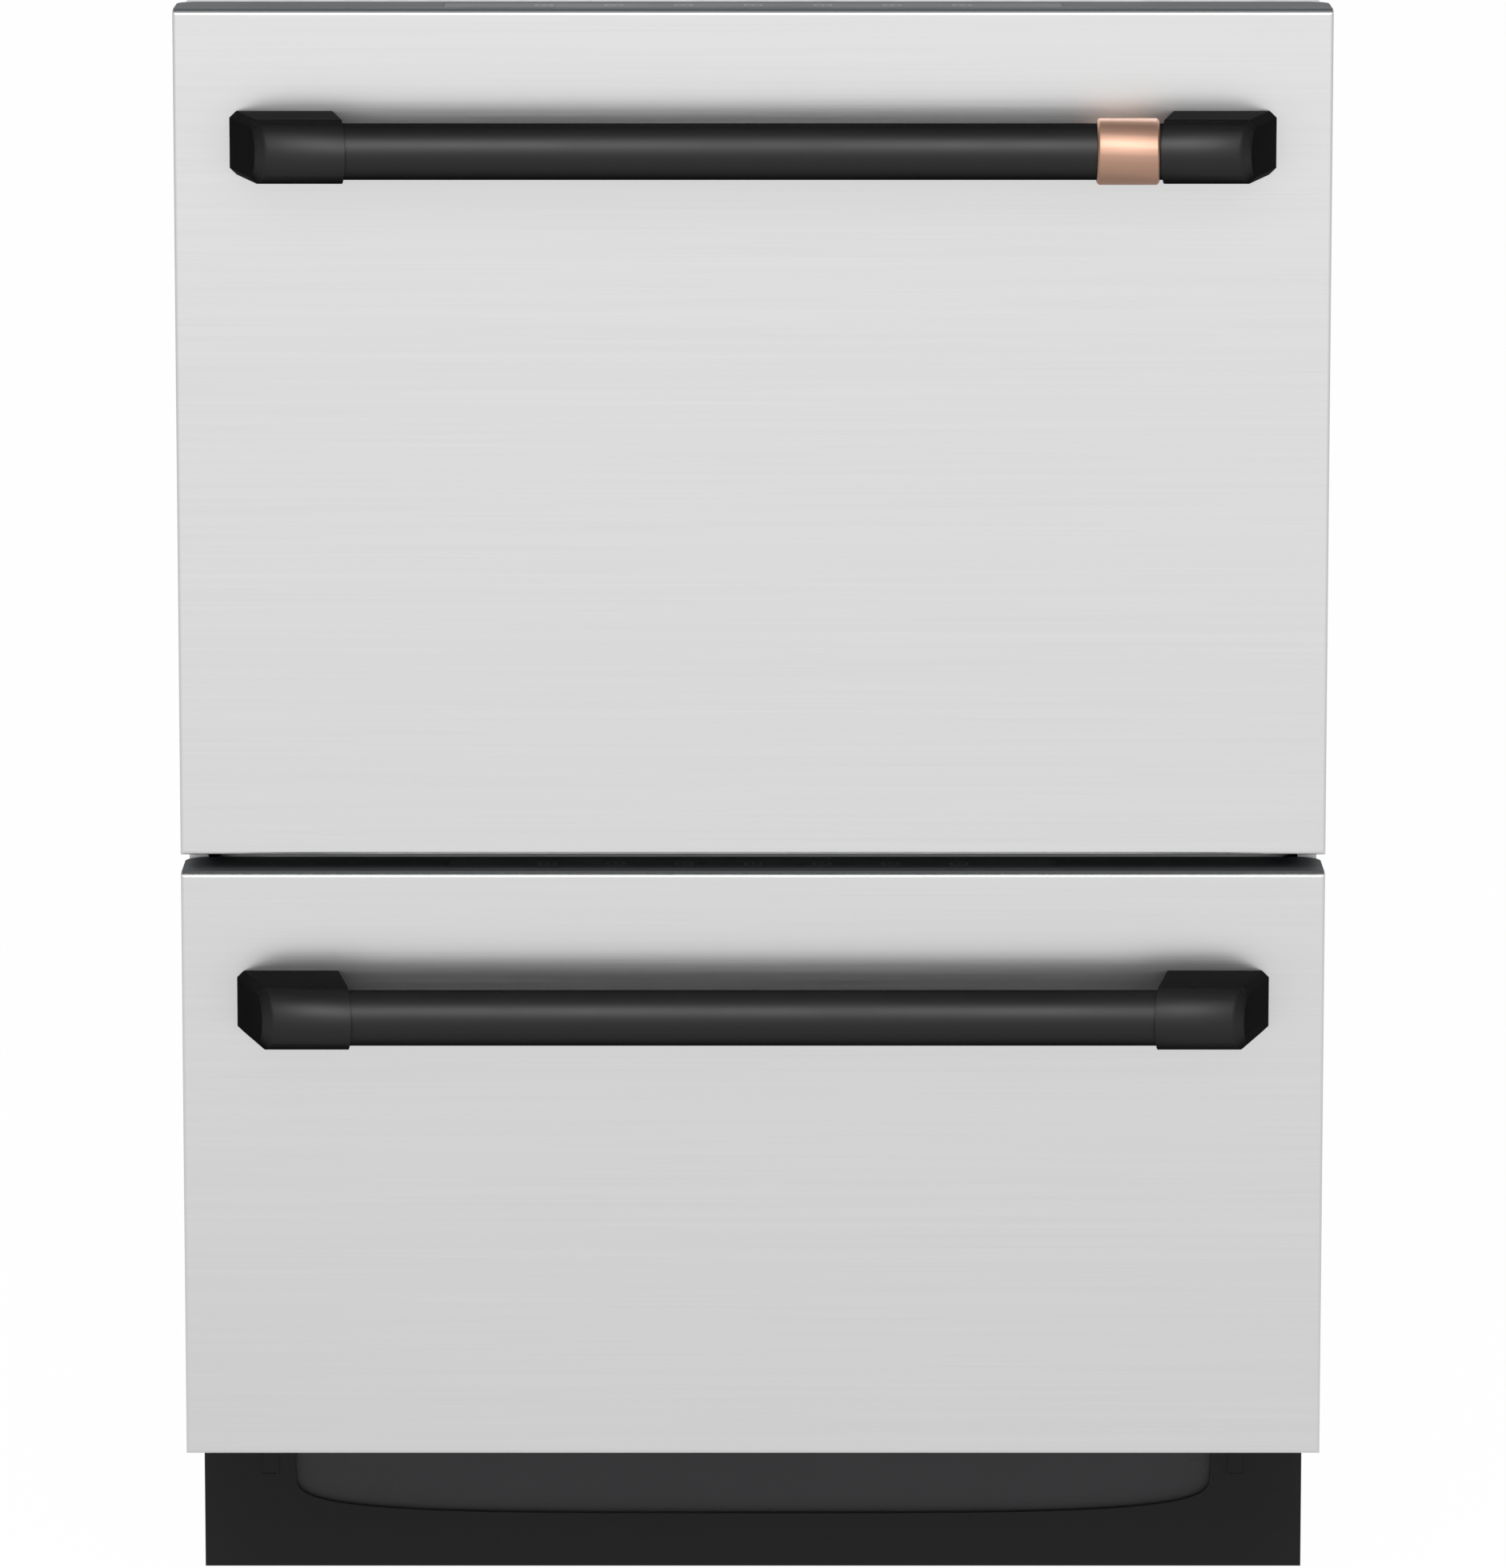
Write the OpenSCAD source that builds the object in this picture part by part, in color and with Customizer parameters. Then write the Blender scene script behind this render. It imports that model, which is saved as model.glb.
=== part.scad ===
// Built-under dishwasher with two drawers, one above the other.
// Frame: X across the front, Y from front to back, Z up. The origin is on the floor, in the
// middle of the appliance's outline seen from above, and each drawer pulls out along -Y.
// Drawer 0 is the lower one and drawer 1 the upper one.

/* [Cabinet] */
// Depth from the face of the doors to the back panel
body_depth = 573; // [560:1:600]
// How far each side of the doors stands out beyond the cabinet's side
door_overhang = 2; // [1.5:0.5:3]
// Height of the underside of the base tray above the floor
base_z = 78; // [76:1:80]
// Depth of the cabinet's top panel below the top of the upper door panel
top_drop = 3; // [2:0.5:4]
// Thickness of the folded steel of the cabinet
steel_t = 1.2; // [1:0.1:1.5]
// Width of the folded edges of the cabinet
fold_w = 16; // [12:1:20]
// Distance of the toe kick behind the face of the doors
kick_setback = 95; // [85:1:105]
// Depth of the pressed scoop in the toe kick
scoop_depth = 5; // [3:0.5:8]

/* [Doors] */
// Width of each stainless door panel
door_w = 598; // [596:1:600]
// Depth of each door, from its face to its back
door_t = 45; // [42:1:48]
// Height of the lower door's bottom edge above the floor
lower_door_z = 87; // [85:1:90]
// Height of the lower door panel
lower_door_h = 311; // [305:1:320]
// Height of the upper door panel
upper_door_h = 441; // [436:1:446]
// Gap between the two door panels
door_split = 10; // [9:1:12]
// Gap between the doors and the front edge of the cabinet
door_gap = 2; // [1.5:0.5:3]
// Thickness of the stainless sheet
sheet_t = 1.2; // [0.8:0.1:1.5]
// Depth of the sheet's folded sides
sheet_return = 22; // [16:1:28]
// Radius of the sheet's folds
fold_r = 2; // [1.6:0.1:3]
// How far the door cap stands above the panel
cap_rise = 1; // [0.8:0.1:1.5]
// Height of the door cap
cap_h = 15; // [12:1:18]

/* [Handles] */
// Diameter of the handle bar
bar_d = 29; // [26:0.5:31]
// Height of the handle's end posts
post_h = 33; // [32:0.5:36]
// Distance of the bar's axis in front of the door
bar_reach = 45; // [40:1:50]
// Distance of each end post from the side of the door
handle_inset = 29; // [24:1:39]
// Length of an end post where it meets the door
post_len = 53; // [48:1:58]
// How far an end post's outer face leans inwards
outer_lean = 17; // [12:1:20]
// How far an end post's inner face leans inwards
inner_lean = 9; // [6:1:12]
// Width of the bevel around an end post's outer face
post_bevel = 3.5; // [2:0.5:5]
// Height of the bar's axis below the top of the door panel
bar_drop = 68; // [60:1:75]
// Outside diameter of the metal ring on the upper handle
ring_d = 34; // [33:0.5:36]
// Length of the metal ring
ring_len = 32; // [28:1:36]

/* [Tubs] */
// Distance of each tub's side from the outside of the cabinet
tub_inset = 19; // [18:0.5:20]
// Depth of each tub
tub_d = 468; // [460:1:472]
// Height of the lower tub's floor above the bottom edge of its door
lower_tub_rise = 78; // [76:1:81]
// Height of the upper tub's floor above the bottom edge of its door
upper_tub_rise = 122; // [119:1:125]
// Wall thickness of the tubs
tub_t = 2.5; // [2:0.1:3]
// Corner radius of the tubs
tub_r = 32; // [26:1:38]
// Width of the rim around each tub
rim_w = 7; // [5:0.5:8]
// Radius of the sump in the tub's floor
sump_r = 95; // [90:1:100]
// Depth of the sump below the tub's floor
sump_depth = 30; // [28:1:32]
// Radius of the filter plate
filter_r = 150; // [145:1:156]
// Lift of the lid above the tub
lid_lift = 10; // [8:1:11]
// Thickness of the lid's seal
seal_h = 4; // [3:0.5:5]

/* [Racks] */
// Distance of the dish rack's sides from the outside of the tub
rack_inset = 28; // [25:1:31]
// Depth of the dish rack
rack_d = 410; // [404:1:414]
// Height of the rack's floor above the tub's floor
rack_lift = 50; // [47:1:52]
// Height of the lower rack's sides
lower_rack_h = 95; // [90:1:97]
// Height of the upper rack's sides
upper_rack_h = 115; // [108:1:120]
// Diameter of the coated wire
wire_d = 4; // [3.5:0.1:4.4]
// Distance between the wires and between the tines
wire_pitch = 36; // [33:1:40]
// Length of the tines in the lower rack
lower_tine = 80; // [70:1:84]
// Length of the tines in the upper rack
upper_tine = 95; // [85:1:100]
// Reach of the cup shelf in the lower rack
lower_shelf = 65; // [55:1:68]
// Reach of the cup shelf in the upper rack
upper_shelf = 80; // [70:1:86]
// Radius of the spray arm
arm_r = 214; // [205:1:218]

/* [Hidden] */
$fn = 64;
air = 0.3;        // running gap between a moving piece and its neighbour
bore_gap = 0.1;   // radial gap of a pin in its bore
cut = 1;          // how far a cutting shape runs past what it cuts

chassis_w = door_w - 2 * door_overhang;
tub_w = chassis_w - 2 * tub_inset;
rack_w = tub_w - 2 * rack_inset;
handle_span = door_w - 2 * handle_inset;   // over the outer edges of the end posts
handle_reach = bar_reach + post_h / 2;     // from the door's face to the front of the handle
front_y = (handle_reach - body_depth) / 2;
back_y = front_y + body_depth;
door_back_y = front_y + door_t;
chassis_y = door_back_y + door_gap;
chassis_d = back_y - chassis_y;
wall_x = chassis_w / 2 - steel_t;   // inner face of a side panel

upper_door_z = lower_door_z + lower_door_h + door_split;
function door_z(n) = n == 0 ? lower_door_z : upper_door_z;
function door_h(n) = n == 0 ? lower_door_h : upper_door_h;
function door_top(n) = door_z(n) + door_h(n);
chassis_top = upper_door_z + upper_door_h - top_drop;
function bar_z(n) = door_top(n) - bar_drop;

// The lower tub's rim lies just under its door's top, and the upper tub leaves room for its lid.
rim_drop = [6, 49];
function rim_z(n) = door_top(n) - rim_drop[n];
function tub_z(n) = door_z(n) + (n == 0 ? lower_tub_rise : upper_tub_rise);
function tub_h(n) = rim_z(n) - tub_z(n);
function floor_z(n) = tub_z(n) + tub_t;
tub_cy = door_back_y + tub_d / 2;
tub_front = door_back_y + tub_t;    // inner face of the tub's front wall

function rack_h(n) = n == 0 ? lower_rack_h : upper_rack_h;
function tine_h(n) = n == 0 ? lower_tine : upper_tine;
function shelf_len(n) = n == 0 ? lower_shelf : upper_shelf;
function rack_z(n) = floor_z(n) + rack_lift;
rack_cy = tub_cy + 8;               // set back, so that the dispenser has room in front
wire_r = wire_d / 2;
rim_r = wire_r + 0.5;
layer = wire_d - 0.5;               // the upper layer of floor wires is welded into the lower
wire_top = layer + wire_r;          // top of the rack's floor above its lower wires' axis

// Telescopic runners, from the cabinet's wall towards the tub.
runner_len = tub_d + 2;
runner_y = chassis_y + 3;
runner_rise = 45;                   // runner's centre above the tub's underside
function runner_z(n) = tub_z(n) + runner_rise;
gauge = 1.5;                        // thickness of the runners' steel
outer_h = 45;                       // height of the cabinet's member
mid_h = 34;
inner_h = 22;
runner_w = 12;                      // from the wall to the drawer's member
mid_u = 2.5;                        // the middle member's web, from the wall
inner_flange = 7;

kick_y = front_y + kick_setback;
foot_inset = 32;
foot_front = 40;                    // behind the toe kick
foot_rear = 42;                     // in front of the back panel
foot_x = chassis_w / 2 - foot_inset;
foot_y = [kick_y + foot_front, back_y - foot_rear];
foot_rod_r = 5;
tray_h = 20;

bowl_drop = 6;                      // the filter plate's seat below the floor
shaft_r = 6;
arm_z = 17;                         // underside of the spray arm above the tub's floor
arm_t = 11;

// ---------- shared shapes ----------

module rounded_square(w, d, r) {
    square([w - 2 * r, d], center = true);
    square([w, d - 2 * r], center = true);
    for (x = [-1, 1], y = [-1, 1])
        translate([x * (w / 2 - r), y * (d / 2 - r)]) circle(r);
}

// A bar with round ends that runs along Y.
module stadium(w, len) {
    square([w, len - w], center = true);
    for (y = [-1, 1]) translate([0, y * (len - w) / 2]) circle(w / 2);
}

// A slab with its base at z = 0, centred in X and Y.
module slab(w, d, h, r) {
    linear_extrude(h) rounded_square(w, d, r);
}

// A box from its lowest corner to its highest.
module box(low, high) {
    translate(low) cube(high - low);
}

module both_sides() {
    children();
    mirror([1, 0, 0]) children();
}

// A cylinder whose axis runs along +Y from y = 0.
module along_y(r, len) {
    rotate([-90, 0, 0]) cylinder(r = r, h = len);
}

// A cylinder whose axis runs along +X from x = 0.
module along_x(r, len) {
    rotate([0, 90, 0]) cylinder(r = r, h = len);
}

// A profile in X and Y, stood on its side so that it runs along +Y from y = 0.
// The profile's Y becomes Z.
module profile_along_y(len) {
    translate([0, len, 0]) rotate([90, 0, 0]) linear_extrude(len) children();
}

// A profile in Y and Z that runs along +X from x = 0: profile X becomes Y, profile Y becomes Z.
module profile_along_x(len) {
    rotate([90, 0, 90]) linear_extrude(len) children();
}

// ---------- cabinet ----------

swage_w = 26;
swage_depth = 3;
swage_margin = 70;   // from each end of a bead to the panel's edge

// A long pressed bead that stands in towards the inside of the left panel, along Y.
module swage(z, extra) {
    grow = extra * steel_t;
    translate([-chassis_w / 2 - (1 - extra) * cut, chassis_y + chassis_d / 2, z])
        rotate([0, 90, 0])
            linear_extrude(swage_depth + grow + (1 - extra) * cut)
                stadium(swage_w + 2 * grow, chassis_d - 2 * swage_margin + 2 * grow);
}

fixing_r = 2.75;
fixing_inset = 22;
fixing_z = [base_z + 60, chassis_top - 60];

// Slots in the front fold let the runners out.
module runner_gates() {
    for (n = [0, 1])
        box([-wall_x + cut, chassis_y - cut, runner_z(n) - outer_h / 2 - 2],
            [-wall_x + fold_w + cut, chassis_y + steel_t + cut, runner_z(n) + outer_h / 2 + 2]);
}

// Heights of the beads, clear of the runners, the lid lifters and the lids.
swage_z = [tub_z(0) + 115, runner_z(1) + 65, runner_z(1) + 125];

module side_panel() {
    front_fold = (chassis_w - tub_w) / 2 - rim_w - 2;
    color("lightgray")
    difference() {
        union() {
            box([-chassis_w / 2, chassis_y, base_z], [-wall_x, back_y - steel_t, chassis_top - steel_t]);
            box([-chassis_w / 2, chassis_y, base_z],
                [-chassis_w / 2 + front_fold, chassis_y + steel_t, chassis_top - steel_t]);
            for (z = swage_z) swage(z, 1);
        }
        for (z = swage_z) swage(z, 0);
        runner_gates();
        for (z = fixing_z)
            translate([-chassis_w / 2 - cut, chassis_y + fixing_inset, z])
                along_x(fixing_r, steel_t + 2 * cut);
    }
}

service_w = 190;
service_h = 84;
service_z = base_z + tray_h + 4;
vent_slots = 9;
vent_pitch = 30;
vent_z = tub_z(1) - 70;

bead_half = chassis_w / 2 - 67;
bead_z = [tub_z(0) + 95, tub_z(0) + 185, tub_z(1) + 70, tub_z(1) + 190];

// A pressed bead across the back panel, standing in towards the tubs.
module back_bead(z, grow, depth) {
    translate([0, back_y + cut - depth, z])
        profile_along_y(depth) rotate(90) stadium(swage_w + 2 * grow, 2 * bead_half + 2 * grow);
}

module back_panel() {
    color("lightgray")
    difference() {
        union() {
            box([-chassis_w / 2, back_y - steel_t, base_z], [chassis_w / 2, back_y, chassis_top]);
            both_sides()
                box([wall_x - fold_w, back_y - 2 * steel_t, base_z + tray_h],
                    [wall_x, back_y - steel_t, chassis_top - steel_t - cut]);
            intersection() {
                union() for (z = bead_z) back_bead(z, steel_t, swage_depth + steel_t + cut);
                box([-wall_x, back_y - 20, base_z], [wall_x, back_y, chassis_top]);
            }
        }
        for (z = bead_z) back_bead(z, 0, swage_depth + cut);
        // window for the water, drain and power connections
        translate([0, back_y - 3 * steel_t, service_z + service_h / 2])
            profile_along_y(4 * steel_t)
                rounded_square(service_w, service_h, 10);
        // slots let the upper motor breathe
        for (i = [0 : vent_slots - 1])
            translate([(i - (vent_slots - 1) / 2) * vent_pitch, back_y - 3 * steel_t, vent_z])
                profile_along_y(4 * steel_t)
                    rounded_square(8, 60, 3.9);
    }
}

rib_x = chassis_w / 2 - 107;   // the top panel's outer beads

module top_panel() {
    rib_run = chassis_d - 120;
    color("lightgray")
    difference() {
        union() {
            box([-chassis_w / 2, chassis_y, chassis_top - steel_t],
                [chassis_w / 2, back_y - steel_t, chassis_top]);
            // turned-down edges, inside the side panels
            both_sides()
                box([wall_x - steel_t, chassis_y + 40, chassis_top - steel_t - fold_w / 4],
                    [wall_x, back_y - 3 * steel_t, chassis_top - steel_t]);
            for (x = [-rib_x, 0, rib_x])
                translate([x, chassis_y + chassis_d / 2, chassis_top - 2 * steel_t - 1])
                    linear_extrude(steel_t + 2) stadium(swage_w + 2 * steel_t, rib_run + 2 * steel_t);
        }
        for (x = [-rib_x, 0, rib_x])
            translate([x, chassis_y + chassis_d / 2, chassis_top - steel_t - 1])
                linear_extrude(3 * steel_t) stadium(swage_w, rib_run);
        worktop_holes();
    }
}

module base_tray() {
    color("silver")
    difference() {
        union() {
            difference() {
                box([-wall_x, chassis_y + steel_t, base_z], [wall_x, back_y - steel_t, base_z + tray_h]);
                box([-wall_x + steel_t, chassis_y + 2 * steel_t, base_z + steel_t],
                    [wall_x - steel_t, back_y - 2 * steel_t, base_z + tray_h + cut]);
            }
            for (x = [-foot_x, foot_x], y = foot_y)
                translate([x, y, base_z]) cylinder(r = foot_rod_r + 5, h = tray_h);
            // stiffening ribs across the tray
            for (y = [0.3, 0.5, 0.7])
                translate([0, chassis_y + y * chassis_d, base_z])
                    slab(wall_x * 1.5, 14, steel_t + 3, 6);
        }
        for (x = [-foot_x, foot_x], y = foot_y)
            translate([x, y, base_z - cut]) cylinder(r = foot_rod_r + bore_gap, h = tray_h + 2 * cut);
    }
}

rail_h = 14;
rail_d = 26;
rail_y = chassis_y + steel_t;   // behind the side panels' front folds
worktop_hole_x = chassis_w / 2 - 97;

// A folded channel that opens to the back.
module rail(z, h) {
    difference() {
        box([-wall_x, rail_y, z], [wall_x, rail_y + rail_d, z + h]);
        box([-wall_x - cut, rail_y + steel_t, z + steel_t],
            [wall_x + cut, rail_y + rail_d + cut, z + h - steel_t]);
    }
}

middle_rail_z = rim_z(0) + 30;
top_rail_z = chassis_top - steel_t - rail_h;
lug_w = 30;

// Screws go up through the top rail and the top panel into the worktop.
module worktop_holes() {
    for (x = [-worktop_hole_x, worktop_hole_x])
        translate([x, rail_y + rail_d / 2, top_rail_z - cut])
            cylinder(r = fixing_r, h = rail_h + steel_t + 2 * cut);
}

module front_rails() {
    color("dimgray") {
        rail(middle_rail_z, rail_h);
        difference() {
            rail(top_rail_z, rail_h);
            worktop_holes();
        }
    }
}

kick_side_gap = 2;
kick_w = chassis_w - 2 * kick_side_gap;
scoop_half_w = kick_w / 2 - 49;
scoop_low = 31;
scoop_power = 4;
scoop_shoulder = 55;

// Half the scoop's outline is a squared-off ellipse, open at the top edge of the kick.
module scoop_outline(grow, top) {
    a = scoop_half_w + grow;
    b = scoop_shoulder - scoop_low + grow;
    polygon(concat(
        [for (i = [0 : 32])
            let (t = 180 + i * 180 / 32, c = cos(t), s = sin(t))
            [a * sign(c) * pow(abs(c), 2 / scoop_power),
             scoop_shoulder - b * pow(abs(s), 2 / scoop_power)]],
        [[a, top], [-a, top]]));
}

kick_t = 1.5;
kick_top = base_z;
kick_low = 2;
kick_return = 18;
kick_clip_inset = 35;
kick_clip_x = kick_w / 2 - kick_clip_inset;
kick_clip_z = 52;

module toe_kick() {
    pan_back = kick_y + scoop_depth + kick_t;
    color([0.13, 0.13, 0.14])
    difference() {
        union() {
            box([-kick_w / 2, kick_y, kick_low], [kick_w / 2, kick_y + kick_t, kick_top]);
            both_sides()
                box([kick_w / 2 - kick_t, kick_y, kick_low], [kick_w / 2, kick_y + kick_return, kick_top]);
            intersection() {
                translate([0, kick_y, 0])
                    profile_along_y(scoop_depth + kick_t) scoop_outline(kick_t, kick_top);
                box([-kick_w / 2, kick_y, kick_low], [kick_w / 2, pan_back, kick_top]);
            }
            // clips that hold the kick to the base
            both_sides()
                difference() {
                    box([kick_clip_x - 5, kick_y - 1, kick_clip_z],
                        [kick_clip_x + 5, kick_y, kick_clip_z + 14]);
                    box([kick_clip_x - 3.8, kick_y - 2, kick_clip_z + 1.2],
                        [kick_clip_x + 3.8, kick_y - 0.4, kick_clip_z + 12.8]);
                }
        }
        translate([0, kick_y - cut, 0])
            profile_along_y(scoop_depth + cut) scoop_outline(0, kick_top + cut);
    }
}

// One runner member's channel: u runs from the cabinet wall towards the tub.
module channel(u_low, u_high, h, open_to_tub) {
    difference() {
        translate([u_low, -h / 2]) square([u_high - u_low, h]);
        translate([u_low + (open_to_tub ? gauge : -cut), -h / 2 + gauge])
            square([u_high - u_low - gauge + cut, h - 2 * gauge]);
    }
}

// Both runners of drawer n, from a profile drawn in u and z.
module runner_pair(n) {
    both_sides()
        translate([wall_x, runner_y, runner_z(n)])
            mirror([1, 0, 0])
                profile_along_y(runner_len) children();
}

module cabinet_runners() {
    color("gainsboro")
    for (n = [0, 1])
        runner_pair(n) channel(0, runner_w - 1, outer_h, true);
}

lifter_w = 44;
lifter_h = 36;
lifter_t = 8.5;
lifter_rise = 2;
pin_r = 3;
pin_rise = 10;
pin_inset = 84;   // from the tub's front and back to the lid's pins
pin_y = [tub_cy - tub_d / 2 + pin_inset, tub_cy + tub_d / 2 - pin_inset];
lifter_web = 2;   // left behind the slot

// Each lid hangs on four pins, and each pin rides in the slot of a motorised lifter.
module lid_lifters() {
    color("white")
    for (n = [0, 1], y = pin_y)
        both_sides()
            difference() {
                translate([wall_x - lifter_t, y, rim_z(n) + lifter_rise + lifter_h / 2])
                    rotate([0, 90, 0]) slab(lifter_h, lifter_w, lifter_t, 5);
                for (z = [0, lid_lift])
                    translate([wall_x - lifter_t - cut, y, rim_z(n) + pin_rise + z])
                        along_x(pin_r + air, lifter_t - lifter_web + cut);
                box([wall_x - lifter_t - cut, y - pin_r - air, rim_z(n) + pin_rise],
                    [wall_x - lifter_web, y + pin_r + air, rim_z(n) + pin_rise + lid_lift]);
            }
}

foot_pad_r = 20;
foot_travel = 30;
foot_top = base_z + tray_h + foot_travel + 2;

module levelling_feet() {
    color("dimgray")
    for (x = [-foot_x, foot_x], y = foot_y)
        translate([x, y, 0]) {
            cylinder(r = foot_pad_r, h = 5);
            translate([0, 0, 5]) cylinder(r1 = foot_pad_r, r2 = foot_pad_r - 7, h = 4);
            translate([0, 0, 9]) cylinder(r = 11, h = 8, $fn = 6);
            translate([0, 0, 17]) cylinder(r = foot_rod_r, h = foot_top - 17);
        }
}

service_mid_z = service_z + service_h / 2;
inlet_x = -55;
drain_x = 10;
terminal_x = 62;
inlet_r = 13.2;
drain_r = 9.5;
stub_inset = 2;
stub_end = back_y - stub_inset;
inlet_len = 14;
collar_t = 4;
valve_w = 34;
valve_len = 30;
coil_r = 13;
coil_h = 22;
bracket_t = 2;
bracket_w = 24;

module water_connection() {
    valve_back = stub_end - inlet_len - collar_t;
    valve_front = valve_back - valve_len;
    color("royalblue")
    translate([inlet_x, 0, service_mid_z]) {
        translate([0, stub_end - inlet_len, 0]) along_y(inlet_r, inlet_len);
        translate([0, valve_back, 0]) along_y(inlet_r + collar_t, collar_t);
        box([-valve_w / 2, valve_front, -valve_w / 2], [valve_w / 2, valve_back, valve_w / 2]);
        translate([0, valve_back - valve_len / 2, valve_w / 2]) cylinder(r = coil_r, h = coil_h);
        // bracket on the tray
        box([-bracket_w / 2, valve_front + bracket_t, base_z + steel_t - service_mid_z],
            [bracket_w / 2, valve_front + 2 * bracket_t, -valve_w / 2]);
    }
}

spigot_len = 26;
drain_collar = 3;
drain_neck = 30;
drain_drop = 14;
drain_foot_w = 14;
drain_foot_d = 8;

module drain_connection() {
    neck_back = stub_end - spigot_len - collar_t;
    color("black")
    translate([drain_x, 0, service_mid_z - drain_drop]) {
        translate([0, stub_end - spigot_len, 0]) along_y(drain_r, spigot_len);
        translate([0, neck_back, 0]) along_y(drain_r + drain_collar, collar_t);
        translate([0, neck_back - drain_neck, 0]) along_y(drain_r + drain_collar / 3, drain_neck);
        box([-drain_foot_w / 2, neck_back - drain_neck + drain_foot_d,
             base_z + steel_t - service_mid_z + drain_drop],
            [drain_foot_w / 2, neck_back - drain_neck + 2 * drain_foot_d, -drain_r]);
    }
}

gland_r = 10.5;
terminal_w = 48;
terminal_d = 50;
terminal_wall = 2;
terminal_back = 2.5;      // wall with the cable gland
terminal_foot_inset = 4;

module terminal_box() {
    h = service_h - 12;
    low = service_mid_z - h / 2;
    front = stub_end - terminal_d;
    color("gray")
    difference() {
        union() {
            box([terminal_x - terminal_w / 2, front, low], [terminal_x + terminal_w / 2, stub_end, low + h]);
            box([terminal_x - terminal_w / 2 + terminal_foot_inset, front + terminal_foot_inset,
                 base_z + steel_t],
                [terminal_x + terminal_w / 2 - terminal_foot_inset, stub_end - 10, low]);
        }
        box([terminal_x - terminal_w / 2 + terminal_wall, front + terminal_wall, low + terminal_wall],
            [terminal_x + terminal_w / 2 - terminal_wall, stub_end - terminal_back, low + h - terminal_wall]);
        translate([terminal_x, stub_end - terminal_back - cut, service_mid_z])
            along_y(gland_r, terminal_back + 2 * cut);
    }
}

// ---------- doors ----------

// A block whose four front edges are rounded: the crossing of its plan and its side view.
module folded_block(w, d, h, r) {
    intersection() {
        translate([0, d, 0]) linear_extrude(h) front_rounded(w, d, r);
        translate([-w / 2, 0, 0])
            profile_along_x(w) translate([d, h / 2]) rotate(-90) front_rounded(h, d, r);
    }
}

// A rectangle from y = -d to 0, with its two corners at -d rounded.
module front_rounded(w, d, r) {
    translate([-w / 2, -d + r]) square([w, d - r]);
    translate([-w / 2 + r, -d]) square([w - 2 * r, r]);
    for (x = [-1, 1]) translate([x * (w / 2 - r), -d + r]) circle(r);
}

stud_r = 3;
stud_hole_r = stud_r + air;
stud_len = 22;
top_fold = 11;      // depth of the sheet's short top fold
bolt_x = handle_span / 2 - post_len / 2;

module front_panel(n) {
    h = door_h(n);
    color([0.8, 0.8, 0.79])
    translate([0, front_y, door_z(n)])
        difference() {
            folded_block(door_w, sheet_return, h, fold_r);
            translate([0, sheet_t, sheet_t])
                folded_block(door_w - 2 * sheet_t, sheet_return, h - 2 * sheet_t, fold_r - sheet_t);
            // the top fold is short, because the cap covers it
            box([-door_w / 2 + sheet_t, top_fold, h - 2 * sheet_t],
                [door_w / 2 - sheet_t, sheet_return + cut, h + cut]);
            for (x = [-bolt_x, bolt_x])
                translate([x, -cut, h - bar_drop]) along_y(stud_hole_r, sheet_t + 2 * cut);
        }
}

frame_wall = 2.5;
frame_rib = 2;

// The moulded frame fills the door behind the sheet, with the sheet's inner fold radius. Its
// ribs stand on its back wall, and its top stops under the cap.
module door_frame(n) {
    w = door_w - 2 * sheet_t;
    h = door_h(n) - sheet_t - cap_h + cap_rise;
    depth = door_t - sheet_t;
    columns = 6;
    rows = n == 0 ? 3 : 4;
    color("darkslategray")
    translate([0, front_y + sheet_t, door_z(n) + sheet_t])
        difference() {
            intersection() {
                folded_block(w, depth, 2 * h, fold_r - sheet_t);
                union() {
                    difference() {
                        box([-w, 0, -cut], [w, depth, h]);
                        box([-w / 2 + frame_wall, -cut, frame_wall],
                            [w / 2 - frame_wall, depth - frame_wall, h - frame_wall]);
                    }
                    for (i = [1 : columns - 1])
                        translate([-w / 2 + i * w / columns - frame_rib / 2, 0, cut])
                            cube([frame_rib, depth - cut, h - 2 * cut]);
                    for (i = [1 : rows - 1])
                        translate([-w / 2 + cut, 0, i * h / rows - frame_rib / 2])
                            cube([w - 2 * cut, depth - cut, frame_rib]);
                    for (x = [-bolt_x, bolt_x])
                        translate([x, 0, bar_z(n) - door_z(n) - sheet_t])
                            along_y(stud_hole_r + 5, depth - cut);
                }
            }
            for (x = [-bolt_x, bolt_x])
                translate([x, -cut, bar_z(n) - door_z(n) - sheet_t]) along_y(stud_hole_r, stud_len + cut);
            // the sides step in behind the sheet's folded edges
            both_sides()
                box([w / 2 - 0.8, sheet_return - sheet_t, -cut], [w / 2 + cut, depth + cut, h + cut]);
        }
}

strip_w = 320;
strip_d = 24;
strip_t = 1.6;
strip_y = front_y + door_t / 2 + 1;
cap_front = 2;
cap_corner = 12;

// A flat piece of the cap: square at the front, with round rear corners.
module cap_layer(w, low, high) {
    d = door_t - cap_front;
    translate([0, front_y + door_t, low])
        linear_extrude(high - low)
            rotate(180) translate([0, d]) front_rounded(w, d, cap_corner);
}

module door_cap(n) {
    top = door_top(n) + cap_rise;
    w = door_w - 2 * sheet_t;
    color([0.2, 0.21, 0.22])
    difference() {
        union() {
            cap_layer(w, top - cap_h, top);
            // a thin brim covers the top edges of the sheet
            cap_layer(door_w - 1, door_top(n), top);
        }
        // rebate over the sheet's top fold
        box([-door_w, front_y, top - cap_h - cut], [door_w, front_y + top_fold + air, door_top(n)]);
        // hollow underside, open to the door's frame
        box([-w / 2 + 14, front_y + 14, top - cap_h - cut], [w / 2 - 14, front_y + door_t - 3, top - 5]);
        translate([0, strip_y, top - strip_t]) slab(strip_w, strip_d, strip_t + cut, 4);
    }
}

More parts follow.
